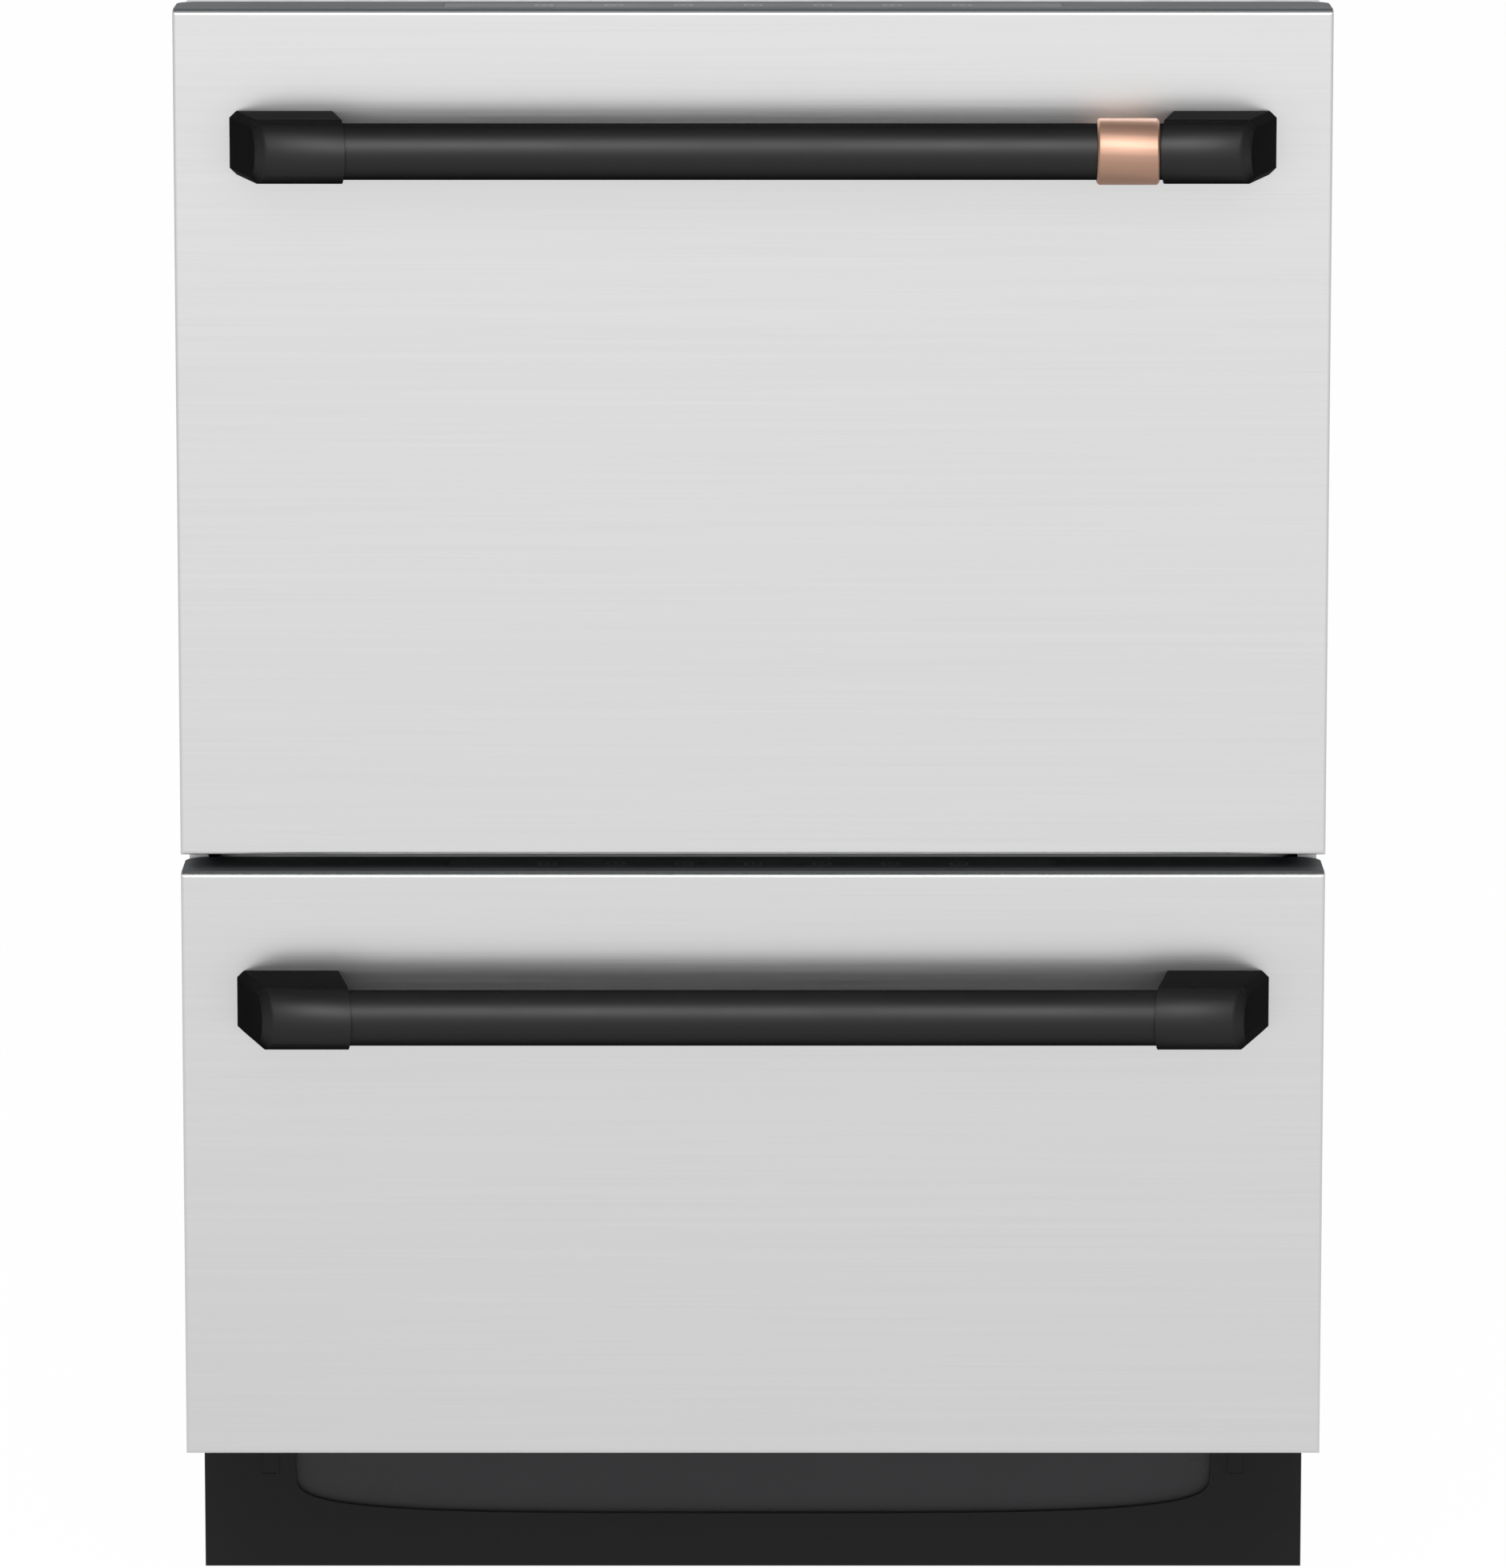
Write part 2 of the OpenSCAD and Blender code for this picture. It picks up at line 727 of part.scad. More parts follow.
module control_strip(n) {
    color([0.05, 0.05, 0.05])
    translate([0, strip_y, door_top(n) + cap_rise - strip_t])
        slab(strip_w - 0.4, strip_d - 0.4, strip_t, 3.8);
}

// ---------- handles ----------

socket_depth = 8;
bar_half = handle_span / 2 - post_len - inner_lean + socket_depth;

module handle_bar(n) {
    color([0.14, 0.14, 0.15])
    translate([-bar_half, front_y - bar_reach, bar_z(n)])
        difference() {
            along_x(bar_d / 2, 2 * bar_half);
            translate([-cut, 0, 0]) along_x(bar_d / 2 - 2.5, 2 * bar_half + 2 * cut);
        }
}

// The post seen from the side: flat above and below, with a round nose about the bar's axis.
module post_profile(shrink) {
    circle(post_h / 2 - shrink, $fn = 72);
    translate([0, -post_h / 2 + shrink]) square([bar_reach, post_h - 2 * shrink]);
}

post_tilt = atan(outer_lean / handle_reach);   // the outer face's angle in plan

// All that lies behind the outer face and its 45 degree bevel; the face is the plane x = 0 and
// the nose's centre is the origin.
module bevelled_face() {
    flat = post_h / 2 - post_bevel;
    far = 2 * post_len;
    rotate([0, 90, 0])
        rotate_extrude() polygon([[0, 0], [flat, 0], [flat + far, far], [0, far]]);
    profile_along_y(far) polygon([[0, -flat], [far, -flat - far], [far, flat + far], [0, flat]]);
}

// The left post: its outer face leans inwards and is bevelled all round.
module handle_post(n) {
    outer = -handle_span / 2;
    inner = outer + post_len;
    nose = -post_h / 2;
    color([0.12, 0.12, 0.13])
    translate([0, front_y - bar_reach, bar_z(n)]) {
        // a stud passes through the sheet into the door's frame
        translate([-bolt_x, bar_reach - cut, 0]) along_y(stud_r, stud_len + cut);
        difference() {
            intersection() {
                translate([outer, 0, 0]) profile_along_x(2 * post_len) post_profile(0);
                translate([outer + bar_reach * tan(post_tilt), 0, 0])
                    rotate([0, 0, post_tilt]) bevelled_face();
                translate([0, 0, -post_h])
                    linear_extrude(2 * post_h)
                        polygon([
                            [outer - cut, bar_reach], [inner, bar_reach],
                            [inner + inner_lean, nose], [outer - cut, nose]
                        ]);
            }
            translate([-bar_half - bore_gap, 0, 0]) along_x(bar_d / 2 + bore_gap, 2 * bar_half);
        }
    }
}

ring_bevel = 1.2;
ring_x = handle_span / 2 - post_len - inner_lean - ring_len - 0.4;

module handle_ring() {
    color([0.72, 0.45, 0.33])
    translate([ring_x, front_y - bar_reach, bar_z(1)])
        rotate([0, 90, 0])
            rotate_extrude()
                polygon([
                    [bar_d / 2 + bore_gap, 0], [ring_d / 2 - ring_bevel, 0], [ring_d / 2, ring_bevel],
                    [ring_d / 2, ring_len - ring_bevel], [ring_d / 2 - ring_bevel, ring_len],
                    [bar_d / 2 + bore_gap, ring_len]
                ]);
}

// ---------- tubs ----------

bowl_r = filter_r + 42;
ledge_r = filter_r - 12;   // inner edge of the filter plate's seat

// Half a section of the floor's bowl: the sump, its sloping side, the filter plate's seat and
// the slope up to the floor. grow is 0 inside and the wall's thickness outside.
module bowl_section(grow) {
    top = grow > 0 ? 0 : tub_t / 2;
    polygon([
        [0, -sump_depth - grow], [sump_r + grow / 2, -sump_depth - grow],
        [ledge_r + grow, -bowl_drop - 3 - grow], [filter_r + 2 + grow, -bowl_drop - grow],
        [bowl_r + grow, top], [0, top]
    ]);
}

rim_h = 4;
side_ribs = 7;
rib_t = 2.5;
rib_out = 3;
rib_pitch_y = (tub_d - 108) / (side_ribs - 1);
rib_pitch_x = (tub_w - 136) / (side_ribs - 1);

module tub(n) {
    z = tub_z(n);
    h = tub_h(n);
    color("whitesmoke")
    difference() {
        union() {
            translate([0, tub_cy, z]) slab(tub_w, tub_d, h, tub_r);
            translate([0, tub_cy + rim_w / 2, z + h - rim_h])
                slab(tub_w + 2 * rim_w, tub_d + rim_w, rim_h, tub_r);
            translate([0, tub_cy, floor_z(n)]) rotate_extrude() bowl_section(tub_t);
            // rails that carry the drawer's runner members
            both_sides()
                box([tub_w / 2 - tub_t, runner_y + 2, runner_z(n) - 10],
                    [wall_x - runner_w, runner_y + runner_len - tub_r - 4, runner_z(n) + 10]);
            // upright ribs on the sides and back
            for (i = [0 : side_ribs - 1])
                both_sides()
                    translate([0, tub_cy + (i - (side_ribs - 1) / 2) * rib_pitch_y, 0])
                        box([tub_w / 2 - 1, -rib_t / 2, runner_z(n) + 10],
                            [tub_w / 2 + rib_out, rib_t / 2, z + h - 1]);
            for (i = [0 : side_ribs - 1])
                translate([(i - (side_ribs - 1) / 2) * rib_pitch_x, tub_cy + tub_d / 2, 0])
                    box([-rib_t / 2, -1, z + 12], [rib_t / 2, rib_out, z + h - 1]);
        }
        translate([0, tub_cy, floor_z(n)])
            slab(tub_w - 2 * tub_t, tub_d - 2 * tub_t, h, tub_r - tub_t);
        translate([0, tub_cy, floor_z(n)]) rotate_extrude() bowl_section(0);
        // hole for the motor's shaft
        translate([0, tub_cy, z - sump_depth - cut])
            cylinder(r = shaft_r + 1, h = tub_t + 3 * cut);
    }
}

module drawer_runners(n) {
    color("gainsboro")
    runner_pair(n) channel(runner_w - inner_flange, runner_w, inner_h, false);
}

ball_rows = 8;
ball_pitch = 24;
inner_balls_y = 20;                // the rows' starts along the runner
outer_balls_y = runner_len - 195;

// A strip that holds a row of balls, at u and z on the runner, starting at y.
module ball_row(n, u, z, ball_r, y) {
    both_sides()
        translate([wall_x - u, runner_y + y, runner_z(n) + z]) {
            box([-0.5, -8, -0.9], [0.5, ball_pitch * (ball_rows - 1) + 8, 0.9]);
            for (i = [0 : ball_rows - 1])
                translate([0, i * ball_pitch, 0]) sphere(r = ball_r, $fn = 24);
        }
}

module middle_runners(n) {
    outer_gap = (outer_h - mid_h) / 2 - gauge;
    inner_gap = (mid_h - inner_h) / 2 - gauge;
    color("silver") {
        runner_pair(n) channel(mid_u, runner_w - 0.5, mid_h, true);
        // the outer balls stay in the cabinet's member and the inner ones in the drawer's
        for (side = [-1, 1]) {
            ball_row(n, runner_w / 2 + 1, side * (mid_h + outer_gap) / 2, outer_gap / 2 - 0.1, outer_balls_y);
            ball_row(n, runner_w / 2 + 3, side * (inner_h + inner_gap) / 2,
                inner_gap / 2 - 0.1, inner_balls_y);
        }
    }
}

lid_edge = 12;
lid_w = chassis_w - 2 * steel_t - 2 * lifter_t - 4;
lid_d = tub_d + 1;
lid_t = 2.5;
lid_rib_x = lid_w * 2 / 15;
lid_rib_y = lid_d * 3 / 16;

module lid(n) {
    low = rim_z(n) + air + seal_h;
    color("lightgray") {
        difference() {
            translate([0, tub_cy + 1, low]) slab(lid_w, lid_d, lid_edge, tub_r);
            translate([0, tub_cy + 1, low + lid_t])
                slab(lid_w - 2 * lid_t, lid_d - 2 * lid_t, lid_edge, tub_r - lid_t);
        }
        // ribs over the lid's top
        for (i = [-3 : 3])
            translate([i * lid_rib_x, tub_cy + 1, low])
                box([-1, -lid_d / 2 + 1.5, 1], [1, lid_d / 2 - 1.5, lid_edge - 2]);
        for (i = [-2 : 2])
            translate([0, tub_cy + i * lid_rib_y, low])
                box([-lid_w / 2 + 1, -1, 1], [lid_w / 2 - 1, 1, lid_edge - 3]);
        for (y = pin_y)
            both_sides()
                translate([lid_w / 2 - 2, y, rim_z(n) + pin_rise])
                    along_x(pin_r, wall_x - 3 - lid_w / 2 + 2);
    }
}

module lid_seal(n) {
    color("dimgray")
    translate([0, tub_cy + 1, rim_z(n) + air])
        difference() {
            slab(tub_w + 8, tub_d - 4, seal_h, tub_r);
            translate([0, 0, -cut])
                slab(tub_w - 12, tub_d - 24, seal_h + 2 * cut, tub_r - 10);
        }
}

motor_r = 66;
motor_gap = 1;

module wash_motor(n) {
    low = tub_z(n) - sump_depth;
    color("dimgray")
    translate([0, tub_cy, low]) {
        difference() {
            union() {
                translate([0, 0, -motor_gap - 26]) cylinder(r = motor_r, h = 26);
                translate([0, 0, -motor_gap]) cylinder(r = 30, h = motor_gap);
                // stator fins
                for (a = [0 : 15 : 345])
                    rotate([0, 0, a])
                        box([motor_r - 2, -1.5, -motor_gap - 22], [motor_r + 5, 1.5, -motor_gap - 4]);
                // drain pump beside the rotor
                translate([motor_r + 28, 0, -motor_gap - 24]) cylinder(r = 26, h = 20);
                box([motor_r - 4, -10, -motor_gap - 20], [motor_r + 20, 10, -motor_gap - 8]);
            }
            translate([0, 0, -motor_gap - 27]) cylinder(r = 20, h = 6);
        }
        // shaft through the sump, up into the spray arm's hub
        translate([0, 0, -motor_gap]) cylinder(r = shaft_r, h = motor_gap + sump_depth + tub_t + arm_z + 8);
    }
}

filter_t = 2.5;
drain_x0 = 58;
drain_filter_r = 27;
strainer_r = sump_r + 5;       // innermost ring of holes
strainer_pitch = (filter_r - sump_r - 19) / 3;
strainer_hole = 3.5;
collar_low = 20;               // the raised collar round the motor's shaft
collar_high = 12;
collar_rise = 12;

module filter_plate(n) {
    color("gray")
    translate([0, tub_cy, floor_z(n) - bowl_drop])
        difference() {
            union() {
                cylinder(r = filter_r, h = filter_t);
                cylinder(r1 = shaft_r + collar_low, r2 = shaft_r + collar_high, h = collar_rise);
                difference() {
                    cylinder(r = filter_r, h = filter_t + 1.5);
                    translate([0, 0, -cut]) cylinder(r = filter_r - 4, h = filter_t + 4);
                }
            }
            translate([0, 0, -cut]) cylinder(r = shaft_r + 4, h = collar_rise + 2 * cut);
            translate([drain_x0, 0, -cut]) cylinder(r = drain_filter_r + air, h = filter_t + 2 * cut);
            // rings of strainer holes over the sump
            for (ring = [0 : 2], i = [0 : 23 + 4 * ring])
                rotate([0, 0, i * 360 / (24 + 4 * ring) + ring * 5])
                    translate([strainer_r + ring * strainer_pitch, 0, -cut])
                        cylinder(r = strainer_hole, h = filter_t + 2 * cut);
        }
}

module drain_filter(n) {
    seat = floor_z(n) - bowl_drop + filter_t;
    depth = sump_depth - bowl_drop - 3;
    color("dimgray")
    translate([drain_x0, tub_cy, seat]) {
        difference() {
            union() {
                cylinder(r = drain_filter_r + 5, h = 2);
                translate([0, 0, -depth]) cylinder(r = drain_filter_r, h = depth);
            }
            // slots down the cage
            for (a = [0 : 30 : 330])
                rotate([0, 0, a])
                    box([drain_filter_r - 3, -2, -depth + 3], [drain_filter_r + cut, 2, -filter_t - 2]);
            for (y = [-15, -9, 9, 15])
                box([-12, y - 1.5, -4], [12, y + 1.5, 2 + cut]);
        }
        // handle over the top
        difference() {
            box([-14, -2.5, 1], [14, 2.5, 13]);
            translate([-8, -2.5 - cut, 2]) cube([16, 5 + 2 * cut, 7]);
        }
    }
}

hub_r = 24;
jets = 7;

module arm_wing() {
    tip = 13;
    difference() {
        union() {
            polygon([[0, -hub_r + 2], [arm_r - tip, -tip], [arm_r - tip, tip], [0, hub_r - 2]]);
            translate([arm_r - tip, 0]) circle(tip);
        }
        // one flank is hollowed, so the water's thrust turns the arm
        translate([arm_r * 0.55, arm_r * 1.12]) circle(arm_r * 1.05, $fn = 180);
    }
}

module spray_arm(n) {
    color("lightsteelblue")
    translate([0, tub_cy, floor_z(n) + arm_z])
        difference() {
            union() {
                for (a = [35, 215]) rotate([0, 0, a]) linear_extrude(arm_t) arm_wing();
                translate([0, 0, -6]) cylinder(r = hub_r, h = arm_t + 10);
                for (a = [35, 215])
                    rotate([0, 0, a])
                        box([hub_r - 2, -9, arm_t - 1], [arm_r - 24, -5, arm_t + 2.5]);
            }
            translate([0, 0, -6 - cut]) cylinder(r = shaft_r + bore_gap, h = 8 + 6 + 2 * cut);
            for (a = [35, 215], i = [0 : jets - 1])
                rotate([0, 0, a])
                    translate([44 + i * 25, -7, arm_t - 4]) cylinder(r = 1.6, h = 9);
        }
}

// ---------- racks ----------

x_wires = 2 * floor((rack_w / 2 - 20) / wire_pitch) + 1;
y_wires = 2 * floor((rack_d / 2 - 20) / wire_pitch) + 1;
function wire_at(i, count) = (i - (count - 1) / 2) * wire_pitch;

fold_x = -rack_w / 2 + 128;
fixed_tine_x = [-wire_pitch, 2 * wire_pitch];
rod_r = 2.5;
rod_rise = wire_top + air + rod_r;
clip_w = 9;

tine_rows = y_wires - 2;
// The folding row stands level with the Y gaps, so it lies down between the fixed tines.
function fold_tine_y(i) = (i - (tine_rows - 1) / 2) * wire_pitch;
function fixed_tine_y(i) = (i - (tine_rows - 2) / 2) * wire_pitch;

fold_clip_y = tine_rows * wire_pitch / 2;   // halfway between the last two cross wires
fold_rod_half = fold_clip_y + 6;

shelf_rise = 8;       // the cup shelf's pivot above the rack's rim
shelf_x = -rack_w / 2 + 6;
shelf_half = rack_d / 2 - 55;
shelf_clip_y = shelf_half - 6;
weld = 0.2;           // seam between the mats and wires that the rack is welded up from

// A side mat in the plane of X and Z: uprights, a rim and a bottom rod.
module side_mat(half, count, h) {
    for (i = [0 : count - 1])
        translate([wire_at(i, count), 0, 0]) cylinder(r = wire_r, h = h);
    for (z = [0, h])
        translate([-half, 0, z]) along_x(rim_r, 2 * half);
}

module corner_post(h) {
    translate([0, 0, -rack_lift + air]) {
        cylinder(r = rim_r, h = h + rack_lift - air);
        cylinder(r = 6, h = 8);
    }
    translate([0, 0, h]) sphere(r = rim_r, $fn = 24);
}

// The rack is welded up from a floor mat, four side mats and rows of straight tines.
module rack(n) {
    h = rack_h(n);
    inset = rim_r + weld;
    color("slategray")
    translate([0, rack_cy, rack_z(n)]) {
        // floor mat
        for (i = [0 : y_wires - 1])
            translate([-rack_w / 2 + inset, wire_at(i, y_wires), layer]) along_x(wire_r, rack_w - 2 * inset);
        for (i = [0 : x_wires - 1])
            translate([wire_at(i, x_wires), -rack_d / 2 + inset, 0]) along_y(wire_r, rack_d - 2 * inset);
        // front and rear mats, then the side mats with the corner posts
        for (s = [-1, 1])
            translate([0, s * rack_d / 2, 0]) side_mat(rack_w / 2 - inset, x_wires, h);
        for (s = [-1, 1])
            translate([s * rack_w / 2, 0, 0]) {
                rotate(90) side_mat(rack_d / 2, y_wires, h);
                for (y = [-1, 1]) translate([0, y * rack_d / 2, 0]) corner_post(h);
            }
        for (x = fixed_tine_x, i = [0 : tine_rows - 2])
            translate([x, fixed_tine_y(i), wire_r + weld]) {
                cylinder(r = wire_r, h = tine_h(n) - wire_r);
                translate([0, 0, tine_h(n) - wire_r]) sphere(r = wire_r, $fn = 24);
            }
        for (s = [-1, 1]) {
            fold_clip(s * fold_clip_y);
            shelf_clip(s * shelf_clip_y, h);
        }
    }
}

// A clip that hooks under two cross wires and holds the folding tines' rod between them.
module fold_clip(y) {
    top = rod_rise + clip_w / 2;
    hook = layer - wire_r - weld;
    translate([fold_x, y, 0])
        difference() {
            union() {
                box([-clip_w / 2, -4, hook - 3], [clip_w / 2, 4, top]);
                box([-clip_w / 2, -wire_pitch / 2 - 2, hook - 3], [clip_w / 2, wire_pitch / 2 + 2, hook]);
            }
            translate([0, -4 - cut, rod_rise]) along_y(rod_r + bore_gap, 8 + 2 * cut);
        }
}

// A clip on the rack's rim that holds the cup shelf's rod.
module shelf_clip(y, h) {
    difference() {
        box([-rack_w / 2 - 2, y - 4, h + rim_r + weld],
            [shelf_x + clip_w / 2, y + 4, h + shelf_rise + clip_w / 2]);
        translate([shelf_x, y - 4 - cut, h + shelf_rise]) along_y(rod_r + bore_gap, 8 + 2 * cut);
    }
}

module folding_tines(n) {
    color("lightslategray")
    translate([fold_x, rack_cy, rack_z(n) + rod_rise]) {
        translate([0, -fold_rod_half, 0]) along_y(rod_r, 2 * fold_rod_half);
        for (i = [0 : tine_rows - 1])
            translate([0, fold_tine_y(i), 0]) {
                cylinder(r = wire_r, h = tine_h(n) - rod_rise);
                translate([0, 0, tine_h(n) - rod_rise]) sphere(r = wire_r, $fn = 24);
            }
    }
}

shelf_t = 3;
scallops = 5;

module cup_shelf(n) {
    len = shelf_len(n);
    pitch = (2 * shelf_half - 40) / scallops;
    color("lightslategray")
    translate([shelf_x, rack_cy, rack_z(n) + rack_h(n) + shelf_rise]) {
        translate([0, -shelf_half, 0]) along_y(rod_r, 2 * shelf_half);
        translate([0, 0, -shelf_t / 2])
            linear_extrude(shelf_t)
                difference() {
                    translate([0, -shelf_half + 14]) square([len, 2 * shelf_half - 28]);
                    // scallops along the edge hold the stems of glasses
                    for (i = [0 : scallops - 1])
                        translate([len, (i - (scallops - 1) / 2) * pitch]) circle(11);
                    for (i = [0 : 2 * scallops - 1])
                        translate([len * 0.42, (i - scallops + 0.5) * pitch / 2])
                            rounded_square(len * 0.5, pitch / 2 - 6, 4);
                }
    }
}

basket_w = 84;
basket_x = rack_w / 2 - 36 - basket_w / 2;
basket_len = rack_d - 110;
slot_pitch = basket_len / 13;
slot_rise = 20;
basket_t = 2;
cells = 3;
function basket_h(n) = tine_h(n) + 8;

module cutlery_basket(n) {
    h = basket_h(n);
    cell = (basket_len - basket_t) / cells;
    color("darkgray")
    translate([basket_x, rack_cy, rack_z(n) + wire_top + air])
        difference() {
            union() {
                slab(basket_w, basket_len, h, 8);
                translate([0, 0, h - 5]) slab(basket_w + 4, basket_len + 4, 5, 9);
                // carrying handle over the middle
                box([-3, -45, h - 6], [3, 45, h + 26]);
            }
            for (i = [0 : cells - 1])
                translate([0, (i - (cells - 1) / 2) * cell, basket_t])
                    slab(basket_w - 2 * basket_t, cell - basket_t, h - 8, 6);
            for (i = [0 : cells - 1])
                translate([0, (i - (cells - 1) / 2) * cell, h - 8])
                    difference() {
                        slab(basket_w - 2 * basket_t, cell - basket_t, 20, 6);
                        if (i == (cells - 1) / 2) box([-3, -60, -cut], [3, 60, 40]);
                    }
            // finger gap under the handle
            translate([0, 0, h + 4]) box([-4, -36, -14], [4, 36, 14]);
            // slots round the sides and in the bottom
            for (z = [14 : slot_rise : h - 18], i = [0 : 11])
                translate([0, (i - 5.5) * slot_pitch, z]) box([-basket_w, -6, 0], [basket_w, 6, 9]);
            for (x = [-24, -8, 8, 24], i = [0 : 11])
                translate([x, (i - 5.5) * slot_pitch, -cut])
                    cylinder(r = 4, h = basket_t + 2 * cut, $fn = 24);
        }
}

// ---------- dispenser ----------

disp_w = 130;
disp_h = 60;
disp_d = 14;
disp_x = -20;
disp_drop = 15;
function disp_z(n) = rim_z(n) - disp_drop - disp_h;
door_x = disp_x - 26;
disp_door_w = 62;
disp_door_h = 46;
hinge_r = 1.5;
hinge_off = 2.2;      // the hinge pin's axis in front of the dispenser's face
hinge_up = 5;
rinse_x = disp_x + 40;
rinse_r = 15;

module dispenser(n) {
    face = tub_front + disp_d;
    pin_z = disp_z(n) + hinge_up;
    color("gray")
    difference() {
        union() {
            translate([disp_x, tub_front, disp_z(n) + disp_h / 2])
                profile_along_y(disp_d) rounded_square(disp_w, disp_h, 8);
            for (s = [-1, 1])
                translate([door_x + s * (disp_door_w / 2 + 3) - 2, face - 1, pin_z])
                    box([0, 0, -3.5], [4, hinge_off + 4, 3.5]);
        }
        // detergent cup
        translate([door_x, face - 10, disp_z(n) + 29])
            profile_along_y(10 + cut) rounded_square(52, 34, 6);
        translate([door_x - disp_door_w, face + hinge_off, pin_z])
            along_x(hinge_r + bore_gap, 2 * disp_door_w);
        // well for the rinse aid
        translate([rinse_x, face - 8, disp_z(n) + disp_h / 2]) along_y(rinse_r - 4, 8 + cut);
    }
}

module dispenser_door(n) {
    face = tub_front + disp_d + air + 0.4;
    pin_z = disp_z(n) + hinge_up;
    color("dimgray") {
        translate([door_x, face, pin_z + disp_door_h / 2 + 1])
            profile_along_y(3) rounded_square(disp_door_w - 3, disp_door_h, 5);
        translate([door_x - disp_door_w / 2 - 4.5, tub_front + disp_d + hinge_off, pin_z])
            along_x(hinge_r, disp_door_w + 9);
        for (s = [-1, 1])
            box([door_x + s * 18 - 5, face, pin_z], [door_x + s * 18 + 5, face + 3, pin_z + 8]);
        // thumb latch
        box([door_x - 9, face + 2.5, pin_z + disp_door_h - 9],
            [door_x + 9, face + 6, pin_z + disp_door_h - 4]);
    }
}

module rinse_cap(n) {
    face = tub_front + disp_d;
    color("steelblue")
    translate([rinse_x, face + air, disp_z(n) + disp_h / 2]) {
        along_y(rinse_r, 4);
        translate([0, -7, 0]) along_y(rinse_r - 4 - bore_gap, 7.5);
        box([-rinse_r + 4, 3.5, -2], [rinse_r - 4, 8, 2]);
    }
}

// ---------- nodes ----------

side_panel();  // left_side_panel
mirror([1, 0, 0]) side_panel();  // right_side_panel
back_panel();
top_panel();
base_tray();
front_rails();
toe_kick();
cabinet_runners();
lid_lifters();
levelling_feet();
water_connection();
drain_connection();
terminal_box();
handle_ring();
for (n = [0, 1]) {
    level = n == 0 ? "lower_" : "upper_";
    front_panel(n);
    door_frame(n);
    door_cap(n);
    control_strip(n);
    handle_bar(n);
    handle_post(n);
    mirror([1, 0, 0]) handle_post(n);
    tub(n);
    drawer_runners(n);
    middle_runners(n);
    lid(n);
    lid_seal(n);
    wash_motor(n);
    filter_plate(n);
    drain_filter(n);
    spray_arm(n);
    rack(n);
    folding_tines(n);
    cup_shelf(n);
    cutlery_basket(n);
    dispenser(n);
    dispenser_door(n);
    rinse_cap(n);
}
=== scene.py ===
import math

import bpy
from mathutils import Matrix, Vector


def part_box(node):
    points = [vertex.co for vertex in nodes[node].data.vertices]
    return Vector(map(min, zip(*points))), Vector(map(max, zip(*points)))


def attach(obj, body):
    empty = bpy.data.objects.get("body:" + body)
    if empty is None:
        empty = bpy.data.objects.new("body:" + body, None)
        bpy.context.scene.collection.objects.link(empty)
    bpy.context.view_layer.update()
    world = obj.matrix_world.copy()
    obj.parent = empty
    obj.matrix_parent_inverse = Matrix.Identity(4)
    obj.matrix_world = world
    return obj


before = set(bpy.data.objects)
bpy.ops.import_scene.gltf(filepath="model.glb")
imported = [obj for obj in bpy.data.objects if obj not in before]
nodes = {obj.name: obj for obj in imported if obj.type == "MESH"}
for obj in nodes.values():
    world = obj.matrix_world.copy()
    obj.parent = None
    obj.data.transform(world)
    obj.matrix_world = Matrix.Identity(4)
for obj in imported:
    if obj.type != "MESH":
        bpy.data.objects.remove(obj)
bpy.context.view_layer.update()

# ---------------------------------------------------------------- cabinet sheets
# The cabinet is folded from zinc-coated steel sheet: two sides, a back, a top and a base tray,
# with rails across the front. The sheets are dull grey with the faint spangle of the zinc.


def new_group(name, inputs, outputs):
    """An empty shader node group with its sockets, and its two end nodes."""
    group = bpy.data.node_groups.new(name, "ShaderNodeTree")
    for socket, kind, default in inputs:
        made = group.interface.new_socket(name=socket, in_out="INPUT", socket_type=kind)
        made.default_value = default
    for socket, kind in outputs:
        group.interface.new_socket(name=socket, in_out="OUTPUT", socket_type=kind)
    return group, group.nodes.new("NodeGroupInput"), group.nodes.new("NodeGroupOutput")


def put(tree, kind, **values):
    """A new node with its properties and its unlinked inputs set."""
    made = tree.nodes.new(kind)
    for name, value in values.items():
        if hasattr(made, name):
            setattr(made, name, value)
        else:
            made.inputs[name.replace("_", " ")].default_value = value
    return made


def join(tree, *links):
    """Links nodes, each link given as the node and output it leaves, then the node and input it enters."""
    for source, leaves, target, enters in links:
        tree.links.new(source.outputs[leaves], target.inputs[enters])


def base_material(name, colour, roughness, metallic=0.0):
    """A material with a Principled shader and a Bump that feeds its normal."""
    material = bpy.data.materials.new(name)
    material.use_nodes = True
    tree = material.node_tree
    shader = tree.nodes["Principled BSDF"]
    shader.inputs["Base Color"].default_value = (*colour, 1.0)
    shader.inputs["Roughness"].default_value = roughness
    shader.inputs["Metallic"].default_value = metallic
    bump = put(tree, "ShaderNodeBump", Strength=0.2, Distance=0.001)
    join(tree, (bump, "Normal", shader, "Normal"))
    place = tree.nodes.new("ShaderNodeTexCoord")
    place.name = "place"
    return material, tree, shader, bump, place


def add_group(tree, group, place, **values):
    """Places a node group, feeds it the object's own coordinates and sets its values."""
    made = tree.nodes.new("ShaderNodeGroup")
    made.node_tree = group
    join(tree, (place, "Object", made, "Place"))
    for name, value in values.items():
        made.inputs[name].default_value = value
    return made


def feed(tree, coat, shader, bump):
    """Leads a group's colour, roughness and height to the shader and its bump."""
    join(tree, (coat, "Colour", shader, "Base Color"), (coat, "Roughness", shader, "Roughness"),
         (coat, "Height", bump, "Height"))


def dress(material, *names):
    """Gives the named CAD nodes this material."""
    for name in names:
        slots = nodes[name].data.materials
        slots.clear()
        slots.append(material)


